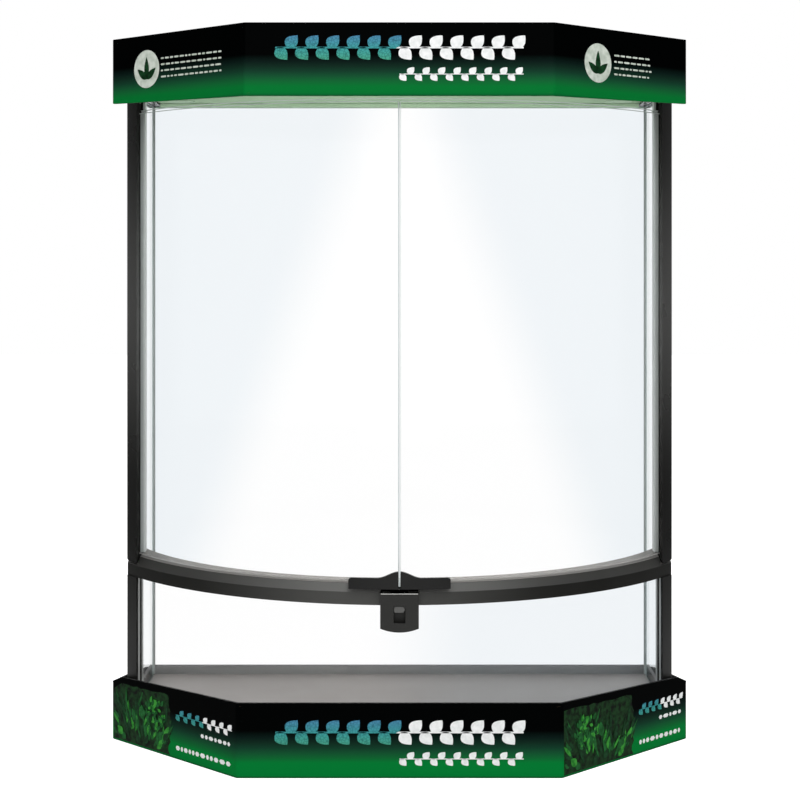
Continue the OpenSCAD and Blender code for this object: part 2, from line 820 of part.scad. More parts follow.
tray_carton();
base_foam_blocks();
rubber_feet();
base_frame();
floor_panel();
back_pane();
side_pane(-1);  // left_side_pane
side_pane(1);  // right_side_pane
lower_front_pane();
side_post(-1);  // left_side_post
side_post(1);  // right_side_post
lower_post(-1);  // left_lower_post
lower_post(1);  // right_lower_post
hinge_block(-1);  // left_hinge_block
hinge_block(1);  // right_hinge_block
front_rail();
upper_front_pane();
top_frame();
rear_top_rail();
silicone_beads();
hinge_pins();
door_pane(-1);  // left_door_pane
door_pane(1);  // right_door_pane
door_stile(-1);  // left_door_stile
door_stile(1);  // right_door_stile
door_pull(-1);  // left_door_pull
door_pull(1);  // right_door_pull
latch_housing();
latch_slider();
latch_leaf();
lid_frame();
lid_mesh();
cable_grommets();
top_foam_blocks();
cap_carton();
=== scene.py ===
"""Looks of a half-moon glass terrarium that stands in its card tray and wears its card cap.

Everything is in metres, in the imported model's frame: +Z up, the bow front faces -Y.
"""

import logging
import math
import random
from collections.abc import Callable, Sequence
from dataclasses import dataclass
from enum import Enum

import bpy
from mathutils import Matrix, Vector


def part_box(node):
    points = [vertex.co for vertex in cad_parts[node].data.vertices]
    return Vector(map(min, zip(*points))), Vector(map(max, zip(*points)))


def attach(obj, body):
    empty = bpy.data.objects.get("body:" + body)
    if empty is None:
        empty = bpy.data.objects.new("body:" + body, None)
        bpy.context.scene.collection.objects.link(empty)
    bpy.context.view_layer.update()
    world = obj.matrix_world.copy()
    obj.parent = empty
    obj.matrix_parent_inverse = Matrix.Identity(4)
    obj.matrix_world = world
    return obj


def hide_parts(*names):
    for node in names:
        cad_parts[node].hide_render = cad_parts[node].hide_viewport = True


MM = 0.001
LOG = logging.getLogger("terrarium")
WELD = 0.001 * MM
LOOSE = 0.005 * MM
NEAR = 0.01 * MM
FLAT_DEG = 0.3
SHARP_DEG = 30.0
SMOOTH_DEG = 35.0
INK_SKIN = 0.06 * MM

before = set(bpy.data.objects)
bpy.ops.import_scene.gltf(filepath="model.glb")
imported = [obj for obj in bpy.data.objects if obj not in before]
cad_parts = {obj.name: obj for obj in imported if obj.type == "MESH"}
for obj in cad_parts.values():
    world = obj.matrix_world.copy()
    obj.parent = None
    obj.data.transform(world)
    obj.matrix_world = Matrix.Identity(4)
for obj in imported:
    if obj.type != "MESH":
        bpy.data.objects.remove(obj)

Colour = tuple[float, float, float, float]
Piece = bpy.types.Object
Face = bpy.types.MeshPolygon
Edge = bpy.types.MeshEdge
Tree = bpy.types.NodeTree
Node = bpy.types.Node
Source = bpy.types.Node | bpy.types.NodeSocket
Relief = tuple[Source, float, float]
Outline = list[tuple[float, float]]


# ------------------------------------------------------------------ colours and nodes


def linear(code: str) -> Colour:
    """Turns an sRGB hex colour into linear RGBA.

    Args:
        code: Six hex digits, with or without a leading hash.

    Returns:
        Red, green, blue and an alpha of 1.
    """
    digits = code.lstrip("#")
    parts = [int(digits[i : i + 2], 16) / 255 for i in (0, 2, 4)]
    red, green, blue = [c / 12.92 if c <= 0.04045 else ((c + 0.055) / 1.055) ** 2.4 for c in parts]
    return (red, green, blue, 1.0)


def add_node(tree: Tree, kind: str, inputs: dict | None = None, **settings: object) -> Node:
    """Adds a shader node with its settings and links.

    Args:
        tree: The material's or the world's node tree.
        kind: Blender's name for the node type, without its "ShaderNode".
        inputs: Values for the node's inputs. A socket, or a node's first output in use, is linked, and
            anything else is set.
        **settings: Values for the node's own properties.

    Returns:
        The new node.
    """
    node = tree.nodes.new("ShaderNode" + kind)
    for key, value in settings.items():
        setattr(node, key, value)
    for key, value in (inputs or {}).items():
        if isinstance(value, bpy.types.Node):
            value = next(output for output in value.outputs if output.enabled)
        if isinstance(value, bpy.types.NodeSocket):
            tree.links.new(value, node.inputs[key])
        else:
            node.inputs[key].default_value = value
    return node


def set_stops(ramp: Node, stops: list[tuple[float, str]]) -> Node:
    """Gives a Color Ramp node its stops and returns it.

    Args:
        ramp: The Color Ramp node.
        stops: Position and hex colour of each stop, from low to high.
    """
    elements = ramp.color_ramp.elements
    while len(elements) < len(stops):
        elements.new(1.0)
    for element, (position, code) in zip(elements, stops):
        element.position = position
        element.color = linear(code)
    return ramp


def mottled(
    tree: Tree, place: Source, size_mm: float, detail: float, colours: tuple[str, str]
) -> tuple[Node, Node]:
    """Adds noise and a blend of two colours by it.

    Args:
        tree: The material's node tree.
        place: The Object coordinates.
        size_mm: Size of the noise's spots.
        detail: The noise's finer octaves.
        colours: The dark and the light hex colour.

    Returns:
        The blend and the noise.
    """
    noise = add_node(tree, "TexNoise", {"Vector": place, "Scale": 1 / (size_mm * MM), "Detail": detail})
    dark, light = (linear(code) for code in colours)
    return add_node(tree, "Mix", {"Factor": noise, "A": dark, "B": light}, data_type="RGBA"), noise


def surface(
    tree: Tree, base: Source, roughness: Source | float, reliefs: list[Relief], **inputs: float
) -> Node:
    """Adds a Principled shader over one or more fine reliefs.

    Args:
        tree: The material's node tree.
        base: The base colour.
        roughness: The roughness.
        reliefs: Height, strength and depth in millimetres of each relief.
        **inputs: The shader's other inputs, with underscores for spaces.

    Returns:
        The shader.
    """
    bump: dict = {}
    for height, strength, depth_mm in reliefs:
        place = {"Height": height, "Strength": strength, "Distance": depth_mm * MM}
        bump = {"Normal": add_node(tree, "Bump", {**place, **bump})}
    others = {key.replace("_", " "): value for key, value in inputs.items()}
    return add_node(tree, "BsdfPrincipled", {"Base Color": base, "Roughness": roughness, **bump, **others})


# ------------------------------------------------------------------ finishes


@dataclass(frozen=True)
class Finish:
    """A surface finish. Each kind writes its own nodes in dress()."""

    name: str

    def material(self) -> bpy.types.Material:
        """Returns this finish's material, made at its first use."""
        known = bpy.data.materials.get(self.name)
        if known is not None:
            return known
        made = bpy.data.materials.new(self.name)
        made.use_nodes = True
        made.node_tree.nodes.clear()
        place = add_node(made.node_tree, "TexCoord").outputs["Object"]
        add_node(made.node_tree, "OutputMaterial", {"Surface": self.dress(made.node_tree, place)})
        return made

    def dress(self, tree: Tree, place: Source) -> Node:
        """Writes the nodes of the finish.

        Args:
            tree: The material's node tree.
            place: The Object coordinates.

        Returns:
            The last shader node.
        """
        raise NotImplementedError


@dataclass(frozen=True)
class MouldedPlastic(Finish):
    """Injection-moulded ABS from a spark-eroded tool: a fine pebbled grain with a soft sheen."""

    dark: str = "#1c1c1b"
    light: str = "#232322"
    roughness: float = 0.42
    grain_mm: float = 0.5
    specular: float = 0.5

    def tint(self, tree: Tree, place: Source, base: Source) -> Source:
        """Returns the piece's colour, given the clouded base colour."""
        return base

    def dress(self, tree: Tree, place: Source) -> Node:
        """Writes a grained plastic with slow changes in sheen."""
        pebbles = {"Vector": place, "Scale": 1 / (self.grain_mm * MM), "Detail": 2.0}
        grain = add_node(tree, "TexNoise", pebbles)
        clouded, cloud = mottled(tree, place, 45, 3.0, (self.dark, self.light))
        sheen = {"To Min": self.roughness - 0.05, "To Max": self.roughness + 0.05}
        rough = add_node(tree, "MapRange", {"Value": cloud, "From Min": 0.3, "From Max": 0.7, **sheen})
        base = self.tint(tree, place, clouded)
        return surface(tree, base, rough, [(grain, 0.35, 0.02)], IOR=1.5, Specular_IOR_Level=self.specular)


@dataclass(frozen=True)
class PaintedSheenBand(MouldedPlastic):
    """Moulded ABS of a long piece with a painted highlight: its colour pales towards one place along its run,
    where a lamp's sheen falls.
    """

    # pale is the colour of the painted highlight at the band's middle.
    pale: str = "#484847"
    axis: str = "Z"
    middle: float = 430 * MM
    reach: float = 190 * MM

    def tint(self, tree: Tree, place: Source, base: Source) -> Source:
        """Returns the base colour, mixed with the paler colour of the painted highlight by the place along
        the axis.
        """
        along = add_node(tree, "SeparateXYZ", {"Vector": place}).outputs[self.axis]
        off = add_node(tree, "Math", {0: along, 1: self.middle}, operation="SUBTRACT")
        away = add_node(tree, "Math", {0: off}, operation="ABSOLUTE")
        span = {"From Min": self.reach, "From Max": 0.0}
        share = add_node(tree, "MapRange", {"Value": away, **span}, interpolation_type="SMOOTHSTEP")
        return add_node(tree, "Mix", {"Factor": share, "A": base, "B": linear(self.pale)}, data_type="RGBA")


@dataclass(frozen=True)
class PrintedCard(Finish):
    """Offset-printed and varnished board: black ink that fades to a bright green near the lower edge."""

    green: str = "#067230"
    black_z: float = 44 * MM
    green_z: float = 14.2 * MM
    edge_z: float = 0.0

    def dress(self, tree: Tree, place: Source) -> Node:
        """Writes the fade by height, the varnish and the board's fibres."""
        height = add_node(tree, "SeparateXYZ", {"Vector": place}).outputs["Z"]
        span = self.black_z - self.edge_z
        full = (self.black_z - self.green_z) / span
        ends = {"From Min": self.black_z, "From Max": self.edge_z}
        fade = add_node(tree, "MapRange", {"Value": height, **ends})
        stops = [
            (0.0, "#010202"),
            (0.22 * full, "#0b1c18"),
            (0.37 * full, "#112b20"),
            (0.53 * full, "#143c2a"),
            (0.69 * full, "#155130"),
            (0.85 * full, "#126532"),
            (full, self.green),
            (1 - 3 * MM / span, self.green),
            (1.0, "#0a4f2a"),
        ]
        ink = set_stops(add_node(tree, "ValToRGB", {"Fac": fade}), stops)
        fibre = add_node(tree, "TexNoise", {"Vector": place, "Scale": 1 / (0.9 * MM), "Detail": 4.0})
        flute = add_node(tree, "TexNoise", {"Vector": place, "Scale": 1 / (60 * MM), "Detail": 1.0})
        sheen = {"From Min": 0.3, "From Max": 0.7, "To Min": 0.36, "To Max": 0.46}
        rough = add_node(tree, "MapRange", {"Value": fibre, **sheen})
        reliefs = [(flute, 0.25, 0.6), (fibre, 0.2, 0.02)]
        return surface(tree, ink, rough, reliefs, IOR=1.5, Specular_IOR_Level=0.01)


@dataclass(frozen=True)
class PrintInk(Finish):
    """One colour of ink on varnished board, with the faint mottle of a printed solid."""

    dark: str = "#2b5a30"
    light: str = "#3d7040"
    mottle_mm: float = 4.0

    def dress(self, tree: Tree, place: Source) -> Node:
        """Writes a mottled ink."""
        spots = {"Vector": place, "Scale": 1 / (self.mottle_mm * MM), "Detail": 5.0}
        mottle = add_node(tree, "TexNoise", spots)
        tone = set_stops(add_node(tree, "ValToRGB", {"Fac": mottle}), [(0.35, self.dark), (0.62, self.light)])
        return surface(tree, tone, 0.42, [(mottle, 0.1, 0.02)], Specular_IOR_Level=0.05)


@dataclass(frozen=True)
class ScaleInk(Finish):
    """Ink that runs from sea blue to sea green down a band, broken by the dark cracks of a scaly skin."""

    low_z: float = 0.0
    high_z: float = 1.0
    scale_mm: float = 2.6

    def dress(self, tree: Tree, place: Source) -> Node:
        """Writes the blend by height and the cracks."""
        height = add_node(tree, "SeparateXYZ", {"Vector": place}).outputs["Z"]
        share = add_node(tree, "MapRange", {"Value": height, "From Min": self.low_z, "From Max": self.high_z})
        stops = [(0.0, "#48a183"), (0.45, "#3d9c9a"), (1.0, "#4a84ab")]
        blend = set_stops(add_node(tree, "ValToRGB", {"Fac": share}), stops)
        scale = {"Vector": place, "Scale": 1 / (self.scale_mm * MM)}
        cells = add_node(tree, "TexVoronoi", scale, feature="DISTANCE_TO_EDGE")
        span = {"From Min": 0.02, "From Max": 0.12, "To Min": 0.45, "To Max": 1.0}
        gap = add_node(tree, "MapRange", {"Value": cells, **span})
        tone = add_node(tree, "Mix", {"Factor": gap, "A": linear("#123c44"), "B": blend}, data_type="RGBA")
        return surface(tree, tone, 0.42, [(gap, 0.1, 0.02)], Specular_IOR_Level=0.05)


@dataclass(frozen=True)
class BareBoard(Finish):
    """Unprinted corrugated board: fibres on its liners, and flutes where it is cut."""

    dark: str = "#6f5a3f"
    light: str = "#93795a"
    flute_depth_mm: float = 0.5
    flute_mm: float = 6.0

    def dress(self, tree: Tree, place: Source) -> Node:
        """Writes fibres over the slow waves of the flutes."""
        spread = add_node(tree, "VectorMath", {0: place, 1: (1.0, 1.0, 0.0)}, operation="DOT_PRODUCT")
        turns = 2 * math.pi / (self.flute_mm * MM)
        wave = add_node(tree, "Math", {0: spread, 1: turns}, operation="MULTIPLY")
        flute = add_node(tree, "Math", {0: wave}, operation="SINE")
        tone, fibre = mottled(tree, place, 1.2, 6.0, (self.dark, self.light))
        return surface(tree, tone, 0.85, [(flute, 0.5, self.flute_depth_mm), (fibre, 0.3, 0.05)])


@dataclass(frozen=True)
class FloatGlass(Finish):
    """Float glass pane: clear face on, a little bluer and darker where it is seen at a slant.

    Its index is kept low, so that the back pane doesn't mirror the rail and the lamps.
    """

    face: str = "#ffffff"
    slant: str = "#f8fbfc"
    ior: float = 1.1

    def cast(self, tree: Tree, place: Source) -> Node:
        """Returns the colour that light takes on in the glass."""
        lean = add_node(tree, "LayerWeight", {"Blend": 0.35}).outputs["Facing"]
        ends = {"A": linear(self.face), "B": linear(self.slant)}
        return add_node(tree, "Mix", {"Factor": lean, **ends}, data_type="RGBA")

    def dress(self, tree: Tree, place: Source) -> Node:
        """Writes a glass that lets the lamps' light through to what stands behind it."""
        tint = self.cast(tree, place)
        clear_through = {"Roughness": 0.0, "IOR": self.ior, "Transmission Weight": 1.0}
        glass = add_node(tree, "BsdfPrincipled", {"Base Color": tint, **clear_through})
        unlit = add_node(tree, "BsdfTransparent", {"Color": tint})
        shadow = add_node(tree, "LightPath").outputs["Is Shadow Ray"]
        return add_node(tree, "MixShader", {0: shadow, 1: glass, 2: unlit})


@dataclass(frozen=True)
class BackGlass(FloatGlass):
    """Rear pane with painted light and shade: a faint blue-grey painted shade that clears in a wedge of
    painted light, which widens downwards to the rail's height.
    """

    painted_shade_colour: str = "#f1f5f8"
    wedge_top_z: float = 600 * MM
    wedge_half: float = 11 * MM
    wedge_flare: float = 0.36
    soft: float = 85 * MM
    sill_z: float = 118 * MM
    sill_soft: float = 14 * MM

    def cast(self, tree: Tree, place: Source) -> Node:
        """Returns a colour that depends on the distance from the wedge."""
        axes = add_node(tree, "SeparateXYZ", {"Vector": place}).outputs
        aside = add_node(tree, "Math", {0: axes["X"]}, operation="ABSOLUTE")
        lean = {0: axes["Z"], 1: self.wedge_flare, 2: aside}
        past = add_node(tree, "Math", lean, operation="MULTIPLY_ADD")
        edge = self.wedge_half + self.wedge_flare * self.wedge_top_z
        span = {"Value": past, "From Min": edge, "From Max": edge + self.soft}
        share = add_node(tree, "MapRange", span, interpolation_type="SMOOTHSTEP")
        sill = {"From Min": self.sill_z, "From Max": self.sill_z + self.sill_soft}
        over = add_node(tree, "MapRange", {"Value": axes["Z"], **sill})
        amount = add_node(tree, "Math", {0: share, 1: over}, operation="MULTIPLY")
        ends = {"A": linear(self.face), "B": linear(self.painted_shade_colour)}
        return add_node(tree, "Mix", {"Factor": amount, **ends}, data_type="RGBA")


@dataclass(frozen=True)
class SillGlass(FloatGlass):
    """Lower front pane: clear on its left half, with a faint blue-grey painted shade on its right half."""

    painted_shade_colour: str = "#f1f5f8"
    clear_x: float = -40 * MM
    cast_x: float = 80 * MM

    def cast(self, tree: Tree, place: Source) -> Node:
        """Returns a colour that depends on the place across the pane."""
        across = add_node(tree, "SeparateXYZ", {"Vector": place}).outputs["X"]
        span = {"Value": across, "From Min": self.clear_x, "From Max": self.cast_x}
        share = add_node(tree, "MapRange", span, interpolation_type="SMOOTHSTEP")
        ends = {"A": linear(self.face), "B": linear(self.painted_shade_colour)}
        return add_node(tree, "Mix", {"Factor": share, **ends}, data_type="RGBA")


@dataclass(frozen=True)
class PaintedLightStrip(Finish):
    """Extruded post of black plastic, its colour painted in bands of light and shade: black where it is
    hidden, paler towards its lip.
    """

    lip: float = 264 * MM
    flank: float = 274 * MM

    def dress(self, tree: Tree, place: Source) -> Node:
        """Writes the painted bands of light and shade by the distance from the terrarium's middle."""
        across = add_node(tree, "SeparateXYZ", {"Vector": place}).outputs["X"]
        aside = add_node(tree, "Math", {0: across}, operation="ABSOLUTE")
        share = add_node(tree, "MapRange", {"Value": aside, "From Min": self.lip, "From Max": self.flank})
        stops = [
            (0.0, "#cbcdcb"),
            (0.12, "#bbbebc"),
            (0.25, "#a7aaa8"),
            (0.5, "#a1a4a2"),
            (0.62, "#8d908e"),
            (0.75, "#787b79"),
            (0.85, "#1e1e1d"),
        ]
        bands = set_stops(add_node(tree, "ValToRGB", {"Fac": share}), stops)
        drag = add_node(tree, "Mapping", {"Vector": place, "Scale": (1.0, 1.0, 0.02)})
        lines = add_node(tree, "TexNoise", {"Vector": drag, "Scale": 1 / (0.6 * MM)})
        return surface(tree, bands, 0.35, [(lines, 0.2, 0.02)], IOR=1.5, Specular_IOR_Level=0.05)


@dataclass(frozen=True)
class GroundEdge(Finish):
    """Seamed edge of a glass pane: fine ground, pale and slightly green."""

    dark: str = "#aebfbb"
    light: str = "#cad8d5"

    def dress(self, tree: Tree, place: Source) -> Node:
        """Writes a satin edge with grinding marks."""
        tone, marks = mottled(tree, place, 0.8, 3.0, (self.dark, self.light))
        return surface(tree, tone, 0.35, [(marks, 0.2, 0.03)], IOR=1.5, Transmission_Weight=0.25)


@dataclass(frozen=True)
class BeadFoam(Finish):
    """Expanded polystyrene: white beads pressed together, each a few millimetres across."""

    bead_mm: float = 3.5

    def dress(self, tree: Tree, place: Source) -> Node:
        """Writes beads with darker seams between them."""
        scale = {"Vector": place, "Scale": 1 / (self.bead_mm * MM)}
        beads = add_node(tree, "TexVoronoi", scale, feature="DISTANCE_TO_EDGE")
        seam = set_stops(add_node(tree, "ValToRGB", {"Fac": beads}), [(0.0, "#d3d5d6"), (0.12, "#f2f2f0")])
        radius = (2 * MM, 2 * MM, 2 * MM)
        return surface(tree, seam, 0.7, [(beads, 0.5, 0.4)], Subsurface_Weight=0.1, Subsurface_Radius=radius)


@dataclass(frozen=True)
class Metal(Finish):
    """Drawn or rolled steel: fine marks along the stock and a dull to bright shine."""

    dull: str = "#9da1a3"
    bright: str = "#b9bcbd"

    def dress(self, tree: Tree, place: Source) -> Node:
        """Writes a metal with drawing marks."""
        tone, marks = mottled(tree, place, 0.4, 2.0, (self.dull, self.bright))
        return surface(tree, tone, 0.35, [(marks, 0.2, 0.01)], Metallic=1.0)


@dataclass(frozen=True)
class SoftRubber(Finish):
    """Moulded rubber or silicone: matt, with a fine bloom."""

    dark: str = "#141414"
    light: str = "#1e1e1e"
    roughness: float = 0.75
    clarity: float = 0.0

    def dress(self, tree: Tree, place: Source) -> Node:
        """Writes a matt surface with bloom."""
        tone, bloom = mottled(tree, place, 6, 5.0, (self.dark, self.light))
        clear = {"IOR": 1.41, "Transmission_Weight": self.clarity}
        return surface(tree, tone, self.roughness, [(bloom, 0.2, 0.05)], **clear)


BLACK_ABS = MouldedPlastic("black_abs", "#141413", "#1a1a19", 0.3, specular=0.3)
HIDDEN_ABS = MouldedPlastic("hidden_black_abs", "#151514", "#1b1b1a", 0.6, specular=0.0)
# Stile fronts: black plastic with a painted highlight that pales them at mid height.
STILE_ABS = PaintedSheenBand("stile_abs", "#161615", "#1b1b1a", 0.3, specular=0.15)
# Stiles' inward faces: the same black plastic, painted lighter than the front to stand in for the light on
# them, with the same painted highlight.
STILE_FLANK_ABS = PaintedSheenBand("stile_flank_abs", "#2f2f2e", "#353534", 0.6, specular=0.0, pale="#6a6a69")
# Rail front: black plastic with a painted highlight towards its middle.
RAIL_RUN = {"roughness": 0.35, "specular": 0.15, "axis": "X"}
RAIL_ABS = PaintedSheenBand(
    "rail_abs", "#181816", "#1d1d1b", pale="#4c4c4a", middle=-30 * MM, reach=195 * MM, **RAIL_RUN
)
# Rail bevel: the same black plastic, painted paler where it faces the top light, with a painted highlight
# towards the middle.
RAIL_BEVEL_ABS = PaintedSheenBand(
    "rail_bevel_abs", "#3b3b39", "#414140", pale="#70706e", middle=-20 * MM, reach=200 * MM, **RAIL_RUN
)
# Rail's flat top: the same black plastic, painted light grey as a painted reflection of the bright
# surroundings, paler towards the middle.
RAIL_TOP_ABS = PaintedSheenBand(
    "rail_top_abs", "#8a8785", "#92908d", 0.5, 0.5, 0.02, pale="#a5a19d", axis="X", middle=0.0, reach=260 * MM
)
RIM_ABS = MouldedPlastic("rear_rim_abs", "#7e7e7d", "#878786", 0.5, specular=0.05)
LOWER_POST_ABS = MouldedPlastic("lower_post_abs", "#1d1d1c", "#232322", 0.4, specular=0.1)
# Lower posts' inward faces: the same black plastic, painted lighter than the front to stand in for the light
# on them.
POST_FLANK_ABS = MouldedPlastic("post_flank_abs", "#2d2d2c", "#333332", 0.6, specular=0.0)
# Pale grey painted light on the black inner faces behind the glass: on the stiles and on the sheet inside
# each lower post.
POST_LIP_ABS = MouldedPlastic("post_lip_abs", "#a2a4a3", "#adafae", 0.5, specular=0.05)
# Side posts: black plastic with painted light and shade in bands that pale towards the lip.
POST_STRIP = PaintedLightStrip("post_painted_light_abs")
FLOOR_ABS = MouldedPlastic("floor_abs", "#7f7a77", "#8b8683", 0.4, grain_mm=1.2)
PALE_STRIP = MouldedPlastic("pale_strip_abs", "#bedcb9", "#c8e4c3", 0.5, specular=0.2)
PULL_ABS = MouldedPlastic("pull_abs", "#121211", "#191918", 0.34, specular=0.25)
# Pulls' upward faces: the same black plastic, painted lighter as a highlight from the top light.
PULL_PAINTED_HIGHLIGHT = MouldedPlastic("pull_painted_highlight", "#666664", "#706f6d", 0.34, specular=0.25)
HOUSING_ABS = MouldedPlastic("latch_housing_abs", "#21211f", "#292927", 0.34, specular=0.25)
# Near black without sheen: painted shade in the latch's slot.
PAINTED_SHADE_ABS = MouldedPlastic("latch_painted_shade", "#020202", "#050505", 0.7, specular=0.0)
# Near white: a painted highlight along the latch housing's top edge.
LATCH_HIGHLIGHT_ABS = MouldedPlastic("latch_painted_highlight", "#dadad6", "#e4e4e0", 0.4, specular=0.1)
SLIDER_ABS = MouldedPlastic("slider_abs", "#525250", "#5c5c5a", 0.4)
MESH_WIRE = MouldedPlastic("coated_wire", "#b8d5b4", "#c2ddbd", 0.5, grain_mm=0.3, specular=0.2)
CLEAR_GLASS = FloatGlass("float_glass")
REAR_GLASS = BackGlass("rear_float_glass")
SILL_GLASS = SillGlass("lower_float_glass")
GLASS_EDGE = GroundEdge("seamed_glass_edge")
SILL_EDGE = GroundEdge("door_sill_edge", "#95918f", "#a5a19f")
SEAM_EDGE = GroundEdge("seam_glass_edge", "#d8e2e0", "#ecf3f2")
UPPER_EDGE = GroundEdge("upper_glass_edge", "#ccd8d2", "#e2ebe6")
WHITE_FOAM = BeadFoam("expanded_polystyrene")
PIN_STEEL = Metal("drawn_steel")
GROMMET_RUBBER = SoftRubber("pale_grommet_rubber", "#a9c7a6", "#b6d3b2", 0.6)
BLACK_RUBBER = SoftRubber("black_rubber")
SEAM_SEAL = SoftRubber("seam_seal", "#d5dddd", "#e0e8e8", 0.5)
EDGE_SEAL = SoftRubber("door_edge_seal", "#aeb8bb", "#bac4c7", 0.5)
SEALANT = SoftRubber("clear_silicone", "#a9afad", "#bcc2c0", 0.35, clarity=0.3)
# Board colour used only for the painted highlights on the front corners of the tray and cap.
CREASE_HIGHLIGHT_TONE = BareBoard("crease_highlight_board")
TRAY_LINER = BareBoard("dark_board_liner", "#0b0d0c", "#141715", 0.15)
TRAY_RIM = BareBoard("inked_black_board_edge", "#060807", "#101312", 0.3)
CAP_LINER = BareBoard("pale_green_board_liner", "#a9c6a5", "#b7d3b3", 0.15)
CAP_RIM = BareBoard("inked_green_board_edge", "#045426", "#0a6531", 0.3)
TRAY_PRINT = PrintedCard("printed_tray_board", "#057a34")
CAP_PRINT = PrintedCard("printed_cap_board", black_z=670.5 * MM, green_z=641 * MM, edge_z=632.3 * MM)
TRAY_TEAL = ScaleInk("tray_teal_ink", low_z=30 * MM, high_z=55 * MM)
CAP_TEAL = ScaleInk("cap_teal_ink", low_z=665 * MM, high_z=689 * MM)
WHITE_INK = PrintInk("white_ink", "#e4e7e6", "#f4f5f5")
UNDERGROWTH_INK = PrintInk("undergrowth_ink", "#040a05", "#173a1b", 5.0)
DEEP_LEAF_INK = PrintInk("deep_leaf_ink", "#0b2612", "#174023")
LEAF_INK = PrintInk("leaf_ink", "#154a20", "#216430")
BRIGHT_LEAF_INK = PrintInk("bright_leaf_ink", "#217026", "#3f9a3a")
PALE_INK = PrintInk("pale_disc_ink", "#b4bfb2", "#d3dad0", 7.0)


# ------------------------------------------------------------------ modelling by hand


def start_object_mode() -> None:
    """Leaves edit mode and deselects everything."""
    if bpy.context.object is not None and bpy.context.object.mode != "OBJECT":
        bpy.ops.object.mode_set(mode="OBJECT")
    bpy.ops.object.select_all(action="DESELECT")


def pick(piece: Piece) -> None:
    """Makes a piece the only selected and active object."""
    start_object_mode()
    piece.select_set(True)
    bpy.context.view_layer.objects.active = piece


def select_parts(piece: Piece, kind: str, wanted: Callable[[Face | Edge], bool]) -> None:
    """Selects some faces or edges and enters edit mode.

    Args:
        piece: The piece.
        kind: FACE or EDGE.
        wanted: Says for a face or an edge whether it is selected.
    """
    pick(piece)
    bpy.ops.object.mode_set(mode="EDIT")
    bpy.ops.mesh.select_mode(type=kind)
    bpy.ops.mesh.select_all(action="DESELECT")
    bpy.ops.object.mode_set(mode="OBJECT")
    for part in piece.data.polygons if kind == "FACE" else piece.data.edges:
        part.select = wanted(part)
    bpy.ops.object.mode_set(mode="EDIT")


def mark(piece: Piece, kind: Callable[[Face], int]) -> Piece:
    """Gives each face the material index that a function returns for it, and returns the piece."""
    for face in piece.data.polygons:
        face.material_index = int(kind(face))
    return piece


def whole(piece: Piece) -> None:
    """Enters edit mode with the whole mesh selected."""
    pick(piece)
    bpy.ops.object.mode_set(mode="EDIT")
    bpy.ops.mesh.select_mode(type="VERT")
    bpy.ops.mesh.select_all(action="SELECT")


def face_outwards(piece: Piece) -> None:
    """Turns a closed mesh's faces outwards and leaves edit mode."""
    whole(piece)
    bpy.ops.mesh.remove_doubles(threshold=WELD)
    bpy.ops.mesh.normals_make_consistent(inside=False)
    start_object_mode()


def sheet_of(name: str, corners: list[Vector]) -> Piece:
    """Adds a filled outline.

    Args:
        name: The piece's name.
        corners: The outline's corners in order.

    Returns:
        The flat piece.
    """
    start_object_mode()
    bpy.ops.mesh.primitive_circle_add(vertices=len(corners), fill_type="NGON")
    piece = bpy.context.object
    piece.name = piece.data.name = name
    for vertex, corner in zip(piece.data.vertices, corners):
        vertex.co = corner
    return piece


def pull_out(piece: Piece, offset: Vector) -> Piece:
    """Extrudes a flat piece into a closed solid along an offset."""
    whole(piece)
    bpy.ops.mesh.extrude_region_move(TRANSFORM_OT_translate={"value": offset})
    face_outwards(piece)
    return piece


def block(name: str, low: Vector, high: Vector) -> Piece:
    """Adds a box between two corners."""
    start_object_mode()
    bpy.ops.mesh.primitive_cube_add(size=1.0, location=(low + high) / 2, scale=high - low)
    piece = bpy.context.object
    piece.name = piece.data.name = name
    bpy.ops.object.transform_apply(location=True, rotation=True, scale=True)
    return piece


def apply_modifier(piece: Piece, kind: str, **settings: object) -> None:
    """Adds a modifier and applies it.

    Args:
        piece: The piece.
        kind: Blender's name for the modifier type.
        **settings: Values for the modifier's properties.
    """
    pick(piece)
    modifier = piece.modifiers.new(kind.lower(), kind)
    for key, value in settings.items():
        setattr(modifier, key, value)
    bpy.ops.object.modifier_apply(modifier=modifier.name)


def round_edges(piece: Piece, width: float, segments: int = 2) -> Piece:
    """Rounds every edge of a piece that is sharp enough, and returns the piece."""
    limit = {"limit_method": "ANGLE", "angle_limit": math.radians(SHARP_DEG)}
    apply_modifier(piece, "BEVEL", width=width, segments=segments, harden_normals=False, **limit)
    return piece


def cut_away(piece: Piece, cutter: Piece) -> None:
    """Cuts a solid out of a piece and deletes the cutter."""
    apply_modifier(piece, "BOOLEAN", object=cutter, operation="DIFFERENCE", solver="EXACT")
    bpy.data.objects.remove(cutter)


def join(name: str, pieces: list[Piece]) -> Piece:
    """Joins pieces into one under a name."""
    start_object_mode()
    for piece in pieces:
        piece.select_set(True)
    bpy.context.view_layer.objects.active = pieces[0]
    if len(pieces) > 1:
        bpy.ops.object.join()
    pieces[0].name = pieces[0].data.name = name
    return pieces[0]


def eased_copy(node: str, name: str, width: float, segments: int = 2) -> Piece:
    """Copies a CAD node, merges its loose triangles and rounds its edges.

    Args:
        node: The CAD node's name.
        name: The new piece's name.
        width: The edges' rounding.
        segments: The rounding's steps.

    Returns:
        The rounded copy.
    """
    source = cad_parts[node]
    piece = bpy.data.objects.new(name, source.data.copy())
    piece.data.name = name
    piece.data.materials.clear()
    bpy.context.scene.collection.objects.link(piece)
    whole(piece)
    bpy.ops.mesh.remove_doubles(threshold=LOOSE)
    bpy.ops.mesh.dissolve_limited(angle_limit=math.radians(FLAT_DEG))
    start_object_mode()
    return round_edges(piece, width, segments)


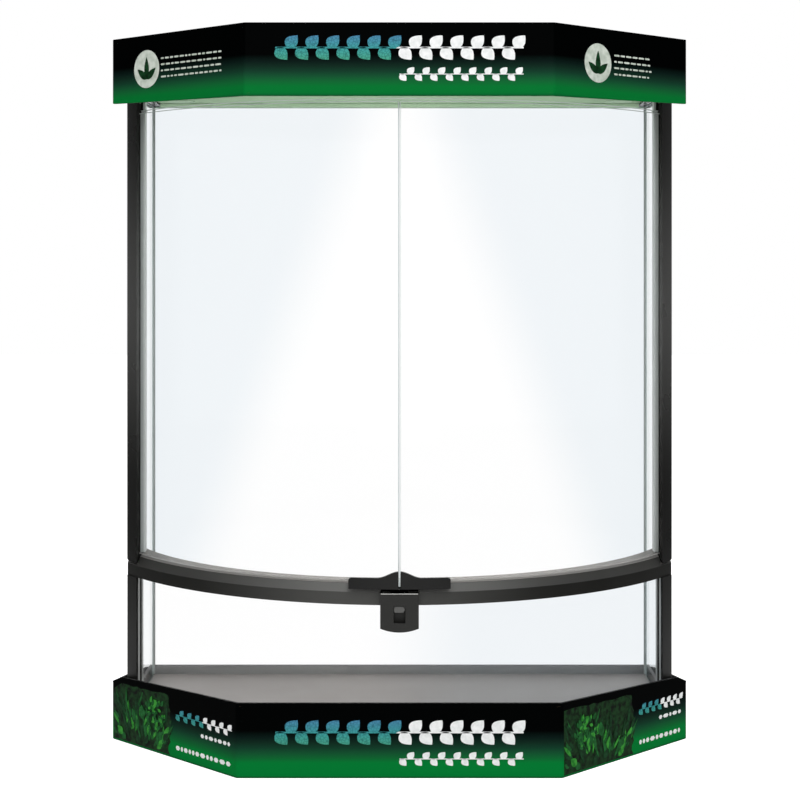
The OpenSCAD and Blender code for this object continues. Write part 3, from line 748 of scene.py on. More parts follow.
def place_piece(piece: Piece, body: str, slot: str, finishes: list[Finish], *nodes: str) -> None:
    """Shades a finished piece, gives it its finishes and lets it ride on its body.

    Args:
        piece: The finished piece.
        body: The body that it moves with.
        slot: A material slot's name; not used.
        finishes: One finish for each of the mesh's material indices.
        *nodes: The CAD nodes that it stands for.
    """
    pick(piece)
    bpy.ops.object.shade_smooth_by_angle(angle=math.radians(SMOOTH_DEG))
    apply_modifier(piece, "WEIGHTED_NORMAL", keep_sharp=True)
    indices = [face.material_index for face in piece.data.polygons]
    piece.data.materials.clear()
    for finish in finishes:
        piece.data.materials.append(finish.material())
    for face, index in zip(piece.data.polygons, indices):
        face.material_index = index
    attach(piece, body)
    if nodes:
        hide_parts(*nodes)
    LOG.info("%s: %d faces on %s", piece.name, len(piece.data.polygons), body)


def moulding(
    node: str,
    name: str,
    ease: float,
    body: str,
    slot: str,
    finishes: list[Finish],
    kind: Callable[[Face], int] = lambda face: 0,
    segments: int = 2,
) -> None:
    """Puts a rounded and finished copy of a CAD node in its place.

    Args:
        node: The CAD node's name.
        name: The new piece's name.
        ease: The edges' rounding.
        body: The body that it moves with.
        slot: A material slot's name, handed on to place_piece; not used.
        finishes: One finish for each material index.
        kind: Says for a face which finish it has.
        segments: The rounding's steps.
    """
    piece = mark(eased_copy(node, name, ease, segments), kind)
    place_piece(piece, body, slot, finishes, node)


def dress_node(node: str, finish: Finish) -> None:
    """Gives a carried-over CAD node its finish."""
    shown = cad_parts[node]
    shown.data.materials.clear()
    shown.data.materials.append(finish.material())
    LOG.info("%s: CAD node in %s", node, finish.name)


# ------------------------------------------------------------------ sub-assemblies


class Side(Enum):
    """The object's two sides, as seen by someone who faces the doors."""

    LEFT = -1
    RIGHT = 1

    @property
    def door(self) -> str:
        """Returns the name of the door's body on this side."""
        return self.name.lower() + "_door"


@dataclass(frozen=True)
class Bow:
    """Plan of the bow front: arcs about one upright axis."""

    axis_y: float = 202 * MM

    def point(self, radius: float, angle: float, z: float) -> Vector:
        """Returns the point on an arc at an angle from straight ahead, positive to the right."""
        return Vector((radius * math.sin(angle), self.axis_y - radius * math.cos(angle), z))

    def outer_radius(self, node: str) -> float:
        """Returns the radius of a bow-shaped node's front face."""
        return self.axis_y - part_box(node)[0].y

    def sweep(self, name: str, section: Outline, start: float, end: float, steps: int) -> Piece:
        """Spins a section of radii and heights from one angle to another into a closed solid.

        Args:
            name: The piece's name.
            section: Radius and height of each corner of the section.
            start: First angle.
            end: Last angle.
            steps: Number of steps of the spin.

        Returns:
            The curved solid.
        """
        piece = sheet_of(name, [self.point(radius, start, z) for radius, z in section])
        whole(piece)
        bpy.ops.mesh.spin(steps=steps, angle=start - end, center=(0, self.axis_y, 0), axis=(0, 0, 1))
        face_outwards(piece)
        return piece

    def lean(self, face: Face) -> float:
        """Returns how squarely a face looks along the radius, from 0 to 1."""
        outward = Vector((face.center.x, face.center.y - self.axis_y, 0)).normalized()
        return abs(face.normal.dot(outward))


BOW = Bow()


@dataclass(frozen=True)
class Panes:
    """Fixed panes and doors of float glass with seamed edges."""

    arris: float = 0.5 * MM
    thickness: float = 4 * MM
    steps: int = 72

    def flat(self, node: str, face_axis: int, glass: Finish = CLEAR_GLASS) -> None:
        """Builds a flat pane.

        Args:
            node: The CAD node that it stands for.
            face_axis: The axis that its faces look along.
            glass: The finish of its faces.
        """
        pane = block(node + "_glass", *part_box(node))
        round_edges(pane, self.arris, 1)
        mark(pane, lambda face: abs(face.normal[face_axis]) < 0.9)
        place_piece(pane, "enclosure", "clear_glass", [glass, GLASS_EDGE], node)

    def curved(self, node: str, body: str, start: float, end: float, glass: Finish = CLEAR_GLASS) -> None:
        """Builds a curved pane.

        Args:
            node: The CAD node that it stands for.
            body: The body that it moves with.
            start: Angle of its first end.
            end: Angle of its last end.
            glass: The finish of its faces.
        """
        low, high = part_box(node)
        outer = BOW.outer_radius(node)
        inner = outer - self.thickness
        section = [(outer, low.z), (outer, high.z), (inner, high.z), (inner, low.z)]
        pane = BOW.sweep(node + "_glass", section, start, end, self.steps)
        round_edges(pane, self.arris, 1)
        mark(pane, lambda face: self.edge_kind(face, low.z))
        place_piece(pane, body, "clear_glass", [glass, SEAM_EDGE, HIDDEN_ABS, SILL_EDGE, UPPER_EDGE], node)

    def edge_kind(self, face: Face, low_z: float) -> int:
        """Returns a curved pane's finish index for one of its faces.

        Args:
            face: The face.
            low_z: Height of the pane's lower edge.

        Returns:
            0 for the pane's faces, 1 for the edge at the seam, 2 for one held in a channel, 3 for the lower
            edge and 4 for the upper one and both of the upper pane.
        """
        if BOW.lean(face) >= 0.8:
            return 0
        if abs(face.normal.z) > 0.5:
            lowest = face.center.z < low_z + self.thickness and low_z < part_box("upper_front_pane")[0].z
            return 3 if lowest else 4
        return 1 if abs(face.center.x) < self.thickness else 2

    def build(self) -> None:
        """Builds every pane. A door's foremost point lies at the seam, so its radius is measured to there."""
        self.flat("back_pane", 1, REAR_GLASS)
        self.flat("left_side_pane", 0)
        self.flat("right_side_pane", 0)
        for node, glass in (("lower_front_pane", SILL_GLASS), ("upper_front_pane", CLEAR_GLASS)):
            reach = math.asin(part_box(node)[1].x / BOW.outer_radius(node))
            self.curved(node, "enclosure", -reach, reach, glass)
        for side in Side:
            node = side.door + "_pane"
            low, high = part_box(node)
            seam, end = (low.x, high.x) if side is Side.RIGHT else (high.x, low.x)
            outer = math.hypot(BOW.outer_radius(node), seam)
            self.curved(node, side.door, math.asin(seam / outer), math.asin(end / outer))


@dataclass(frozen=True)
class PlasticFrame:
    """Moulded frames, posts and rails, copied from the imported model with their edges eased."""

    ease: float = 0.5 * MM
    bead_ease: float = 0.3 * MM
    foot_ease: float = 0.6 * MM
    rail_ease: float = 1.1 * MM
    rear_y: float = 100 * MM
    bevel_drop: float = 8 * MM
    rail_leans: tuple[tuple[float, int], ...] = ((0.99, 2), (0.8, 3), (0.3, 1))
    # Place, thickness and rounding of the pale sheet of painted light inside each lower post.
    painted_light_from_rear: tuple[float, float] = (22.9 * MM, 13 * MM)
    painted_light_thickness: float = 0.3 * MM
    painted_light_ease: float = 0.1 * MM

    def build(self) -> None:
        """Builds the frame's pieces."""
        eased = {
            "floor_panel": ("grey_plastic", FLOOR_ABS),
            "rear_top_rail": ("pale_plastic", PALE_STRIP),
            "left_side_post": ("grey_plastic", POST_STRIP),
            "right_side_post": ("grey_plastic", POST_STRIP),
            "left_hinge_block": ("black_plastic", BLACK_ABS),
            "right_hinge_block": ("black_plastic", BLACK_ABS),
        }
        for node, (slot, finish) in eased.items():
            moulding(node, node + "_moulding", self.ease, "enclosure", slot, [finish])
        top_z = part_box("front_rail")[1].z
        rail_finishes = [RAIL_ABS, RAIL_BEVEL_ABS, RAIL_TOP_ABS, HIDDEN_ABS]
        rail = ("front_rail", "front_rail_moulding", self.rail_ease, "enclosure", "rail_plastic")
        moulding(*rail, rail_finishes, lambda face: self.rail_kind(face, top_z))
        for node, rear in (("base_frame", RIM_ABS), ("top_frame", PALE_STRIP)):
            ring = (node, node + "_moulding", self.ease, "enclosure", "black_plastic")
            moulding(*ring, [BLACK_ABS, rear], self.on_rear_bar)
        for side in Side:
            self.lower_post(side)
        moulding("silicone_beads", "corner_sealant", self.bead_ease, "enclosure", "silicone", [SEALANT])
        moulding("rubber_feet", "foot_pads", self.foot_ease, "enclosure", "black_rubber", [BLACK_RUBBER])
        dress_node("hinge_pins", PIN_STEEL)

    def on_rear_bar(self, face: Face) -> bool:
        """Returns whether a face is on the front of a frame's rear bar."""
        return face.normal.y < -0.3 and face.center.y > self.rear_y

    def lower_post(self, side: Side) -> None:
        """Builds a lower post, and a thin pale grey sheet on its inner face, behind the groove for the pane,
        which paints the light on that face.
        """
        name = side.name.lower()
        node = name + "_lower_post"
        post = (node, node + "_moulding", self.ease, "enclosure", "black_plastic")
        moulding(*post, [LOWER_POST_ABS, POST_FLANK_ABS], lambda face: face.normal.x * side.value < -0.5)
        low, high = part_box(node)
        face_x = side.value * min(abs(low.x), abs(high.x))
        near, far = sorted((face_x, face_x - side.value * self.painted_light_thickness))
        front, back = (high.y - depth for depth in self.painted_light_from_rear)
        start = Vector((near, front, low.z + self.ease))
        liner = block(name + "_painted_light_sheet", start, Vector((far, back, high.z - self.ease)))
        round_edges(liner, self.painted_light_ease, 1)
        place_piece(liner, "enclosure", "grey_plastic", [POST_LIP_ABS])

    def rail_kind(self, face: Face, top_z: float) -> int:
        """Returns the rail's finish index for one of its faces.

        Args:
            face: The face.
            top_z: Height of the rail's top.

        Returns:
            0 for the front, 1 for the bevel, which is painted paler, 2 for the flat top, painted light grey
            as a painted reflection, and 3 for the edge between.
        """
        if face.center.z <= top_z - self.bevel_drop:
            return 0
        return next((kind for lean, kind in self.rail_leans if face.normal.z > lean), 0)


@dataclass(frozen=True)
class Doors:
    """Stiles, pulls and clear seals of the two doors."""

    stile_ease: float = 0.5 * MM
    pull_ease: float = 0.6 * MM
    glass_back_y: float = 12 * MM
    seal_near: float = 0.1 * MM
    seal_far: float = 0.75 * MM
    seal_inset: float = 0.5 * MM

    def stile_kind(self, face: Face, side: Side) -> int:
        """Returns 0 for a stile's front and outside, 1 for an inward face and 2 for one behind the glass."""
        if face.normal.x * side.value >= -0.5:
            return 0
        return 2 if face.center.y > self.glass_back_y else 1

    def build(self) -> None:
        """Builds both doors' mouldings and seals."""
        for side in Side:
            name = side.name.lower()
            door = side.door
            stile = (door + "_stile", name + "_stile_moulding", self.stile_ease, door, "black_plastic")
            finishes = [STILE_ABS, STILE_FLANK_ABS, POST_LIP_ABS]
            moulding(*stile, finishes, lambda face: self.stile_kind(face, side), 3)
            pull = (door + "_pull", name + "_pull_moulding", self.pull_ease, door, "pull_plastic")
            # The pull's upward faces get the painted highlight.
            moulding(*pull, [PULL_ABS, PULL_PAINTED_HIGHLIGHT], lambda face: face.normal.z > 0.35, 3)
            room = (3 * MM, 2.4 * MM, 0.2 * MM)
            self.seal(name + "_seam_seal", door + "_pull", side, room, 0.2 * MM, SEAM_SEAL)
        room = (3.4 * MM, 1 * MM, 1 * MM)
        self.seal("door_edge_seal", "left_door_pane", Side.LEFT, room, 0.15 * MM, EDGE_SEAL)

    def seal(
        self, name: str, node: str, side: Side, room: Sequence[float], ease: float, finish: Finish
    ) -> None:
        """Adds a clear strip on one door's side of the seam, short enough to leave the latch's catch room.

        Args:
            name: The strip's name.
            node: The CAD node that it runs along.
            side: The door that it is on.
            room: Its back's depth behind the node's front, and its distances from the node's lower and
                upper end.
            ease: Its edges' rounding.
            finish: Its finish.
        """
        low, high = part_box(node)
        depth, foot, head = room
        near, far = sorted((side.value * self.seal_near, side.value * self.seal_far))
        start = Vector((near, low.y + self.seal_inset, low.z + foot))
        strip = block(name, start, Vector((far, low.y + depth, high.z - head)))
        round_edges(strip, ease)
        place_piece(strip, side.door, "silicone", [finish])


@dataclass(frozen=True)
class Latch:
    """Latch housing with its slider and leaf spring."""

    housing_ease: float = 0.4 * MM
    slider_ease: float = 0.5 * MM
    foot_trim: float = 2.8 * MM
    side_gap: float = 0.6 * MM
    slot_rise: float = 1 * MM

    def bar(
        self, name: str, depths: Sequence[float], heights: Sequence[float], ease: float, finish: Finish
    ) -> None:
        """Adds a bar across the housing.

        Args:
            name: The bar's name.
            depths: Y of its front and of its back.
            heights: Its lower and upper ends, from the housing's top.
            ease: Its edges' rounding.
            finish: Its finish.
        """
        low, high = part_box("latch_housing")
        start = Vector((low.x + self.side_gap, depths[0], high.z + heights[0]))
        piece = block(name, start, Vector((high.x - self.side_gap, depths[1], high.z + heights[1])))
        round_edges(piece, ease)
        place_piece(piece, "enclosure", "pull_plastic", [finish])

    def build(self) -> None:
        """Builds the latch: the housing, a pale bar of painted highlight on its top edge, a black bar of
        painted shade in front of the rail at the back of its slot, and the slider, whose catch front above
        the housing is painted black as shade.
        """
        housing = ("latch_housing", "latch_housing_moulding", self.housing_ease, "enclosure", "pull_plastic")
        moulding(*housing, [HOUSING_ABS])
        low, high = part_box("latch_housing")
        # A thin pale bar at the housing's top front edge paints the highlight there.
        highlight_y = (low.y + 0.05 * MM, low.y + 0.9 * MM)
        self.bar("latch_top_highlight", highlight_y, (-1.5 * MM, 0.2 * MM), 0.3 * MM, LATCH_HIGHLIGHT_ABS)
        # A black bar just in front of the rail paints the shade at the back of the slot.
        rail_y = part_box("front_rail")[0].y
        shade_y = (rail_y - 0.7 * MM, rail_y - 0.1 * MM)
        self.bar("latch_painted_shade_bar", shade_y, (-2.2 * MM, 4.4 * MM), 0.15 * MM, PAINTED_SHADE_ABS)
        slider = eased_copy("latch_slider", "latch_slider_moulding", self.slider_ease)
        foot_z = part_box("latch_slider")[0].z + 1.2 * self.slider_ease
        select_parts(slider, "FACE", lambda face: face.center.z < foot_z)
        bpy.ops.transform.translate(value=(0, 0, self.foot_trim))
        start_object_mode()
        points = slider.data.vertices
        slot_z = high.z + self.slot_rise

        def in_painted_shade(face: Face) -> bool:
            return face.normal.y < -0.9 and any(points[i].co.z > slot_z for i in face.vertices)

        # The catch's front faces above the housing's top are painted black as shade.
        mark(slider, in_painted_shade)
        place_piece(slider, "latch", "slider_plastic", [SLIDER_ABS, PAINTED_SHADE_ABS], "latch_slider")
        dress_node("latch_leaf", PIN_STEEL)


@dataclass(frozen=True)
class Lid:
    """Lid frame, its wire mesh and the cable grommets."""

    pitch: float = 2.5 * MM
    wire: float = 0.45 * MM
    sides: int = 6
    rim_ease: float = 0.5 * MM
    grommet_ease: float = 0.4 * MM

    def wire_along(self, start: Vector, end: Vector) -> Piece:
        """Adds one straight wire between two points."""
        run = end - start
        turn = run.to_track_quat("Z", "Y").to_euler()
        size = {"vertices": self.sides, "radius": self.wire / 2, "depth": run.length}
        bpy.ops.mesh.primitive_cylinder_add(location=(start + end) / 2, rotation=turn, **size)
        wire = bpy.context.object
        bpy.ops.object.transform_apply(location=True, rotation=True, scale=True)
        return wire

    def net(self) -> Piece:
        """Lays wires both ways across the half-moon."""
        low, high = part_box("lid_mesh")
        radius = BOW.axis_y - low.y
        wires: list[Piece] = []
        start_object_mode()
        z_across = low.z + self.wire / 2
        z_along = high.z - self.wire / 2
        for i in range(int((high.y - low.y) / self.pitch)):
            y = low.y + (i + 0.5) * self.pitch
            reach = min(high.x, math.sqrt(max(radius**2 - (BOW.axis_y - y) ** 2, 0)))
            wires.append(self.wire_along(Vector((-reach, y, z_across)), Vector((reach, y, z_across))))
        for i in range(int((high.x - low.x) / self.pitch)):
            x = low.x + (i + 0.5) * self.pitch
            front = BOW.axis_y - math.sqrt(radius**2 - x**2)
            wires.append(self.wire_along(Vector((x, front, z_along)), Vector((x, high.y, z_along))))
        return join("lid_wire_net", wires)

    def build(self) -> None:
        """Builds the lid."""
        moulding("lid_frame", "lid_rim_moulding", self.rim_ease, "lid", "black_plastic", [BLACK_ABS])
        place_piece(self.net(), "lid", "mesh_steel", [MESH_WIRE], "lid_mesh")
        grommets = ("cable_grommets", "cable_grommet_rings", self.grommet_ease, "lid", "pale_plastic")
        moulding(*grommets, [GROMMET_RUBBER])


@dataclass(frozen=True)
class Panel:
    """One outer face of a carton, for placing print on it."""

    start: Vector
    end: Vector

    @property
    def across(self) -> Vector:
        """Returns the unit vector along the panel."""
        return (self.end - self.start).normalized()

    @property
    def outward(self) -> Vector:
        """Returns the panel's outward normal."""
        return self.across.cross(Vector((0, 0, 1))).normalized()

    @property
    def width(self) -> float:
        """Returns the panel's width."""
        return (self.end - self.start).length

    def at(self, u: float, z: float, lift: float) -> Vector:
        """Returns the point at a distance along the panel, a height and a lift off its face."""
        flat = self.start + self.across * u + self.outward * lift
        return Vector((flat.x, flat.y, z))

    def print_shape(self, name: str, outline: Outline, lift: float = 0.0) -> Piece:
        """Lays a thin printed shape on the panel.

        Args:
            name: The shape's name.
            outline: Distance along the panel and height of each corner.
            lift: Height of its back over the panel's face.

        Returns:
            The thin solid.
        """
        shape = sheet_of(name, [self.at(u, z, lift) for u, z in outline])
        return pull_out(shape, self.outward * INK_SKIN)


def leaf_outline(u: float, z: float, length: float, width: float, angle: float, bend: float) -> Outline:
    """Returns the outline of a pointed leaf.

    Args:
        u: Where its foot is, along the panel.
        z: Where its foot is, in height.
        length: The leaf's length.
        width: The leaf's greatest width.
        angle: Direction from foot to tip, from the panel's run.
        bend: How far its tip curls aside, as a share of its length.
    """
    steps = 9
    cos, sin = math.cos(angle), math.sin(angle)
    right: Outline = []
    left: Outline = []
    for i in range(steps + 1):
        t = i / steps
        along = length * t
        aside = bend * length * t * t
        half = width / 2 * math.sin(math.pi * t**0.8) ** 0.9 if 0 < t < 1 else 0.0
        for edge, sign in ((right, -1), (left, 1)):
            if half == 0.0 and sign == 1:
                continue
            off = aside + sign * half
            edge.append((u + along * cos - off * sin, z + along * sin + off * cos))
    return right + left[::-1]


@dataclass(frozen=True)
class Carton:
    """A carton of printed board with cut-off front corners, whose rim is cut to a line seen from the side."""

    node: str
    body: str
    front_width: float
    opens_up: bool
    printed: Finish
    liner: Finish
    cut_edge: Finish
    teal: Finish
    band_z: float
    rim: Outline
    corner_depth: float = 122 * MM
    board: float = 3 * MM
    fold: float = 1.6 * MM
    crease: float = 0.5 * MM

    def outline(self) -> list[Vector]:
        """Returns the plan's corners, from the front left one to the right, at zero height."""
        low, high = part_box(self.node)
        corner_y = low.y + self.corner_depth
        half = self.front_width / 2
        return [
            Vector((-half, low.y, 0)),
            Vector((half, low.y, 0)),
            Vector((high.x, corner_y, 0)),
            Vector((high.x, high.y, 0)),
            Vector((low.x, high.y, 0)),
            Vector((low.x, corner_y, 0)),
        ]

    def panels(self) -> tuple[Panel, Panel, Panel]:
        """Returns the left chamfer, the front and the right chamfer."""
        p = self.outline()
        return Panel(p[5], p[0]), Panel(p[0], p[1]), Panel(p[1], p[2])

    def closed_open(self) -> tuple[float, float]:
        """Returns the heights of the closed panel's outside and of the rim's furthest point."""
        low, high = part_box(self.node)
        return (low.z, high.z) if self.opens_up else (high.z, low.z)

    def shell(self) -> Piece:
        """Folds up the carton: a closed panel, and walls one board thick whose rim is cut to its line."""
        closed_z, open_z = self.closed_open()
        rise = Vector((0, 0, open_z - closed_z))
        panel = sheet_of(self.node + "_board", [p + Vector((0, 0, closed_z)) for p in self.outline()])
        carton = pull_out(panel, rise)
        select_parts(carton, "FACE", lambda face: abs(face.center.z - open_z) < NEAR)
        bpy.ops.mesh.inset(thickness=self.board)
        depth = -rise * (1 - self.board / rise.length)
        bpy.ops.mesh.extrude_region_move(TRANSFORM_OT_translate={"value": depth})
        face_outwards(carton)
        cut_away(carton, self.rim_cutter(open_z + math.copysign(5 * MM, rise.z)))
        self.round_folds(carton)
        return carton

    def rim_cutter(self, beyond_z: float) -> Piece:
        """Builds the solid past the rim's line, as wide as the carton and more."""
        low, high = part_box(self.node)
        past = 2 * MM
        line = [*self.rim, (self.rim[-1][0], beyond_z), (self.rim[0][0], beyond_z)]
        side = sheet_of("rim_cutter", [Vector((low.x - past, y, z)) for y, z in line])
        return pull_out(side, Vector((high.x - low.x + 2 * past, 0, 0)))

    def round_folds(self, carton: Piece) -> None:
        """Rounds the upright folds, and more tightly the fold round the closed panel."""
        corners = {(round(p.x, 5), round(p.y, 5)) for p in self.outline()}

        def is_upright(edge: Edge) -> bool:
            a, b = (carton.data.vertices[i].co for i in edge.vertices)
            return (a.xy - b.xy).length < NEAR and (round(a.x, 5), round(a.y, 5)) in corners

        folds = ((is_upright, self.fold), (lambda edge: self.at_base(carton, edge), self.crease))
        for is_fold, offset in folds:
            select_parts(carton, "EDGE", is_fold)
            bpy.ops.mesh.bevel(offset=offset, segments=3, affect="EDGES")
            start_object_mode()
        face_outwards(carton)

    def at_base(self, carton: Piece, edge: Edge) -> bool:
        """Returns whether an edge lies between the closed panel and a wall."""
        closed_z, _ = self.closed_open()
        if any(abs(carton.data.vertices[i].co.z - closed_z) > NEAR for i in edge.vertices):
            return False
        return any(abs(face.normal.z) < 0.5 for face in carton.data.polygons if edge.key in face.edge_keys)

    def paint(self, carton: Piece) -> None:
        """Marks the printed outside, the cut edges and the liner."""
        low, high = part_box(self.node)
        closed_z, open_z = self.closed_open()
        centre = Vector((0, (low.y + high.y) / 2, 0))
        inner_z = closed_z + math.copysign(self.board, open_z - closed_z)

        def kind(face: Face) -> int:
            if abs(face.normal.z) <= 0.8:
                return face.normal.dot(face.center - centre) < 0
            if abs(face.center.z - closed_z) >= 2 * self.board:
                return 2
            return abs(face.center.z - inner_z) < 10 * NEAR

        mark(carton, kind)

    def ink(self, name: str, shapes: list[Piece], finish: Finish) -> None:
        """Joins printed shapes into one piece of one ink on the carton."""
        place_piece(join(name, shapes), self.body, "printed_card", [finish])

    def build(self) -> None:
        """Builds the carton and its print."""
        carton = self.shell()
        self.paint(carton)
        place_piece(carton, self.body, "printed_card", [self.printed, self.liner, self.cut_edge], self.node)
        _, front, _ = self.panels()
        middle = front.width / 2
        reach = 115 * MM
        band = (middle - reach, middle + reach, self.band_z)
        self.sprig("front", front, *band, height=25 * MM, leaves=24, teal_leaves=12)
        footer = (middle, middle + reach, self.band_z - 24.5 * MM)
        self.sprig("footer", front, *footer, height=14 * MM, leaves=16, teal_leaves=0)
        self.crease_highlights(front)

    def sprig(
        self,
        name: str,
        panel: Panel,
        start: float,
        end: float,
        z: float,
        height: float,
        leaves: int,
        teal_leaves: int,
    ) -> None:
        """Prints a stem with leaves above and below it, teal ones first and white ones after them.

        Args:
            name: The sprig's name.
            panel: The panel that it is on.
            start: Where it begins, along the panel.
            end: Where it ends.
            z: The stem's height.
            height: The whole sprig's height.
            leaves: Number of leaves.
            teal_leaves: How many of them are teal.
        """
        pitch = (end - start) / leaves
        stem = 0.03 * height
        length = 0.6 * height
        width = min(1.3 * pitch, 0.78 * length)
        lean = math.radians(54)
        turn_u = start + (teal_leaves - 0.3) * pitch
        teal_run = (start, turn_u, range(teal_leaves), self.teal)
        white_run = (turn_u if teal_leaves else start, end, range(teal_leaves, leaves), WHITE_INK)
        for tone, (left, right, count, finish) in (("teal", teal_run), ("white", white_run)):
            if not count:
                continue
            bar = [(left, z - stem), (right, z - stem), (right, z + stem), (left, z + stem)]
            group = [panel.print_shape("stem", bar)]
            for i in count:
                up = 1 if i % 2 else -1
                outline = leaf_outline(start + (i + 0.1) * pitch, z, length, width, up * lean, -0.1 * up)
                group.append(panel.print_shape("leaf", outline, 0.02 * MM * (i % 2)))
            self.ink(f"{self.node}_{name}_{tone}_sprig", group, finish)

    def dashes(self, panel: Panel, run: Outline, height: float, rng: random.Random) -> list[Piece]:
        """Prints a row of short dashes of uneven length.

        Args:
            panel: The panel that it is on.
            run: The row's two ends.
            height: The dashes' height.
            rng: Draws their lengths.

        Returns:
            The dashes.
        """
        row: list[Piece] = []
        (u, z), (end, _) = run
        low_z, high_z = z - height / 2, z + height / 2
        while u < end - 3 * MM:
            stop = min(u + rng.uniform(3.4, 8.5) * MM, end)
            t = min(height / 2, (stop - u) / 4)
            lower = [(u, z), (u + t, low_z), (stop - t, low_z)]
            upper = [(stop, z), (stop - t, high_z), (u + t, high_z)]
            row.append(panel.print_shape("dash", lower + upper))
            u = stop + 1.1 * MM
        return row

    def crease_highlights(self, front: Panel) -> None:
        """Prints small light marks in the board's colour on the front corners next to the rim: a painted
        highlight where the creases catch the light.
        """
        _, open_z = self.closed_open()
        away = -1 if self.opens_up else 1
        inset = 2.2 * MM
        z = open_z + away * 2.5 * MM
        marks: list[Piece] = []
        for u, run in ((inset, 1), (front.width - inset, -1)):
            steps = ((0.0, 0.0), (3.2 * MM, 0.9 * MM), (1.2 * MM, 0.3 * MM))
            outline = [(u + run * along, z + away * aside) for along, aside in steps]
            marks.append(front.print_shape("crease_highlight", outline if run > 0 else outline[::-1]))
        self.ink(self.node + "_corner_crease_highlights", marks, CREASE_HIGHLIGHT_TONE)


@dataclass(frozen=True)
class Tray(Carton):
    """The lower carton, with a patch of printed foliage and small print on each chamfer."""

    patch_low: float = 2 * MM
    patch_start: float = 0.012
    bush_leaves: int = 60
    bush_radius: float = 15 * MM
    bush_z: float = 36 * MM
    blades: int = 72
    seed: int = 7

    def patch_top(self, share: float) -> float:
        """Returns the patch's upper edge, a little under the rim, at a share of the way to the front."""
        return (51 + 7 * min(share / 0.08, 1) + 5 * share) * MM

    def foliage(self, name: str, panel: Panel, end: float, from_side: bool) -> None:
        """Prints undergrowth with a bush, and blades and leaves that fan up over it.

        Args:
            name: Which chamfer it is on.
            panel: The chamfer.
            end: Where the patch ends, as a share of the panel's width.
            from_side: Whether the panel starts at the carton's side.
        """
        rng = random.Random(self.seed)
        left, right = self.patch_start * panel.width, end * panel.width

        def top(u: float) -> float:
            share = u / panel.width
            return self.patch_top(share if from_side else 1 - share)

        base = panel.print_shape("ground", self.undergrowth(left, right, top, rng))
        self.ink(name + "_undergrowth_print", [base], UNDERGROWTH_INK)
        groups: list[list[Piece]] = [[], [], []]
        bush_u = left + (0.72 if from_side else 0.3) * (right - left)
        for i in range(self.bush_leaves):
            turn, out = rng.uniform(0, 2 * math.pi), self.bush_radius * math.sqrt(rng.random())
            u, z = bush_u + out * math.cos(turn), self.bush_z + out * math.sin(turn)
            length = min(rng.uniform(3.5, 7) * MM, top(u) - z)
            if length < 2 * MM:
                continue
            angle, bend = rng.uniform(0.2, math.pi - 0.2), rng.uniform(-0.15, 0.15)
            outline = leaf_outline(u, z, length, length * 0.55, angle, bend)
            groups[1 if i % 3 else 2].append(panel.print_shape("leaf", outline, (0.64 + i * 0.006) * MM))
        tones = (0, 1, 0, 2, 1, 0)
        for i in range(self.blades):
            share = (i * 7 % self.blades + rng.random()) / self.blades
            u = left + (0.05 + 0.88 * share) * (right - left)
            z = self.patch_low + rng.uniform(1, 30) * MM
            angle = math.radians(90 + (0.5 - share) * 80 + rng.uniform(-30, 30))
            cos, sin = math.cos(angle), math.sin(angle)
            room_up = (top(u) - z) / max(sin, 0.3)
            room_side = ((right - u) if cos > 0 else (u - left)) / max(abs(cos), 0.05)
            broad = i % 4 == 3
            length = min(room_up, room_side, (rng.uniform(9, 15) if broad else rng.uniform(16, 34)) * MM)
            width = (rng.uniform(5.5, 8.5) if broad else rng.uniform(2.2, 4.2)) * MM
            outline = leaf_outline(u, z, length * 0.95, width, angle, rng.uniform(-0.15, 0.15))
            blade = panel.print_shape("blade", outline, (0.03 + i * 0.008) * MM)
            groups[tones[i % len(tones)]].append(blade)
        for tone, (group, ink) in enumerate(zip(groups, (DEEP_LEAF_INK, LEAF_INK, BRIGHT_LEAF_INK))):
            self.ink(f"{name}_foliage_print_{tone}", group, ink)

    def undergrowth(
        self, left: float, right: float, top: Callable[[float], float], rng: random.Random
    ) -> Outline:
        """Returns the outline of the patch's ground, with a ragged right side and top.

        Args:
            left: Where it begins, along the panel.
            right: Where it ends.
            top: Gives its upper edge at a place along the panel.
            rng: Draws how ragged it is.
        """
        steps = 14
        inset = right - 6 * MM
        ground = [(left, self.patch_low), (right - 3 * MM, self.patch_low)]
        for i in range(1, steps):
            z = self.patch_low + (top(right) - self.patch_low) * i / steps
            bulge = math.sin(math.pi * i / steps) * 5 * MM
            ground.append((inset + bulge + rng.uniform(-2.2, 2.2) * MM, z))
        for i in range(steps + 1):
            u = inset - (inset - left) * i / steps
            ground.append((u, top(u) - rng.uniform(0, 1.5) * MM))
        return ground

    def build(self) -> None:
        """Builds the tray with its print."""
        super().build()
        left, _, right = self.panels()
        self.foliage("left", left, 0.5, True)
        self.foliage("right", right, 0.57, False)
        rng = random.Random(self.seed)
        for name, panel, start, end in (("left", left, 0.53, 0.965), ("right", right, 0.6, 0.965)):
            a, b = start * panel.width, end * panel.width
            small = (a, b, 42.5 * MM)
            self.sprig(name + "_small", panel, *small, height=12 * MM, leaves=14, teal_leaves=7)
            upper, lower = 29.5 * MM, 11 * MM
            row = self.dashes(panel, [(a + 0.45 * (b - a), upper), (b, upper)], 3.6 * MM, rng)
            row += self.dashes(panel, [(a, lower), (b, lower)], 4.2 * MM, rng)
            self.ink(f"{name}_chamfer_dashes", row, WHITE_INK)


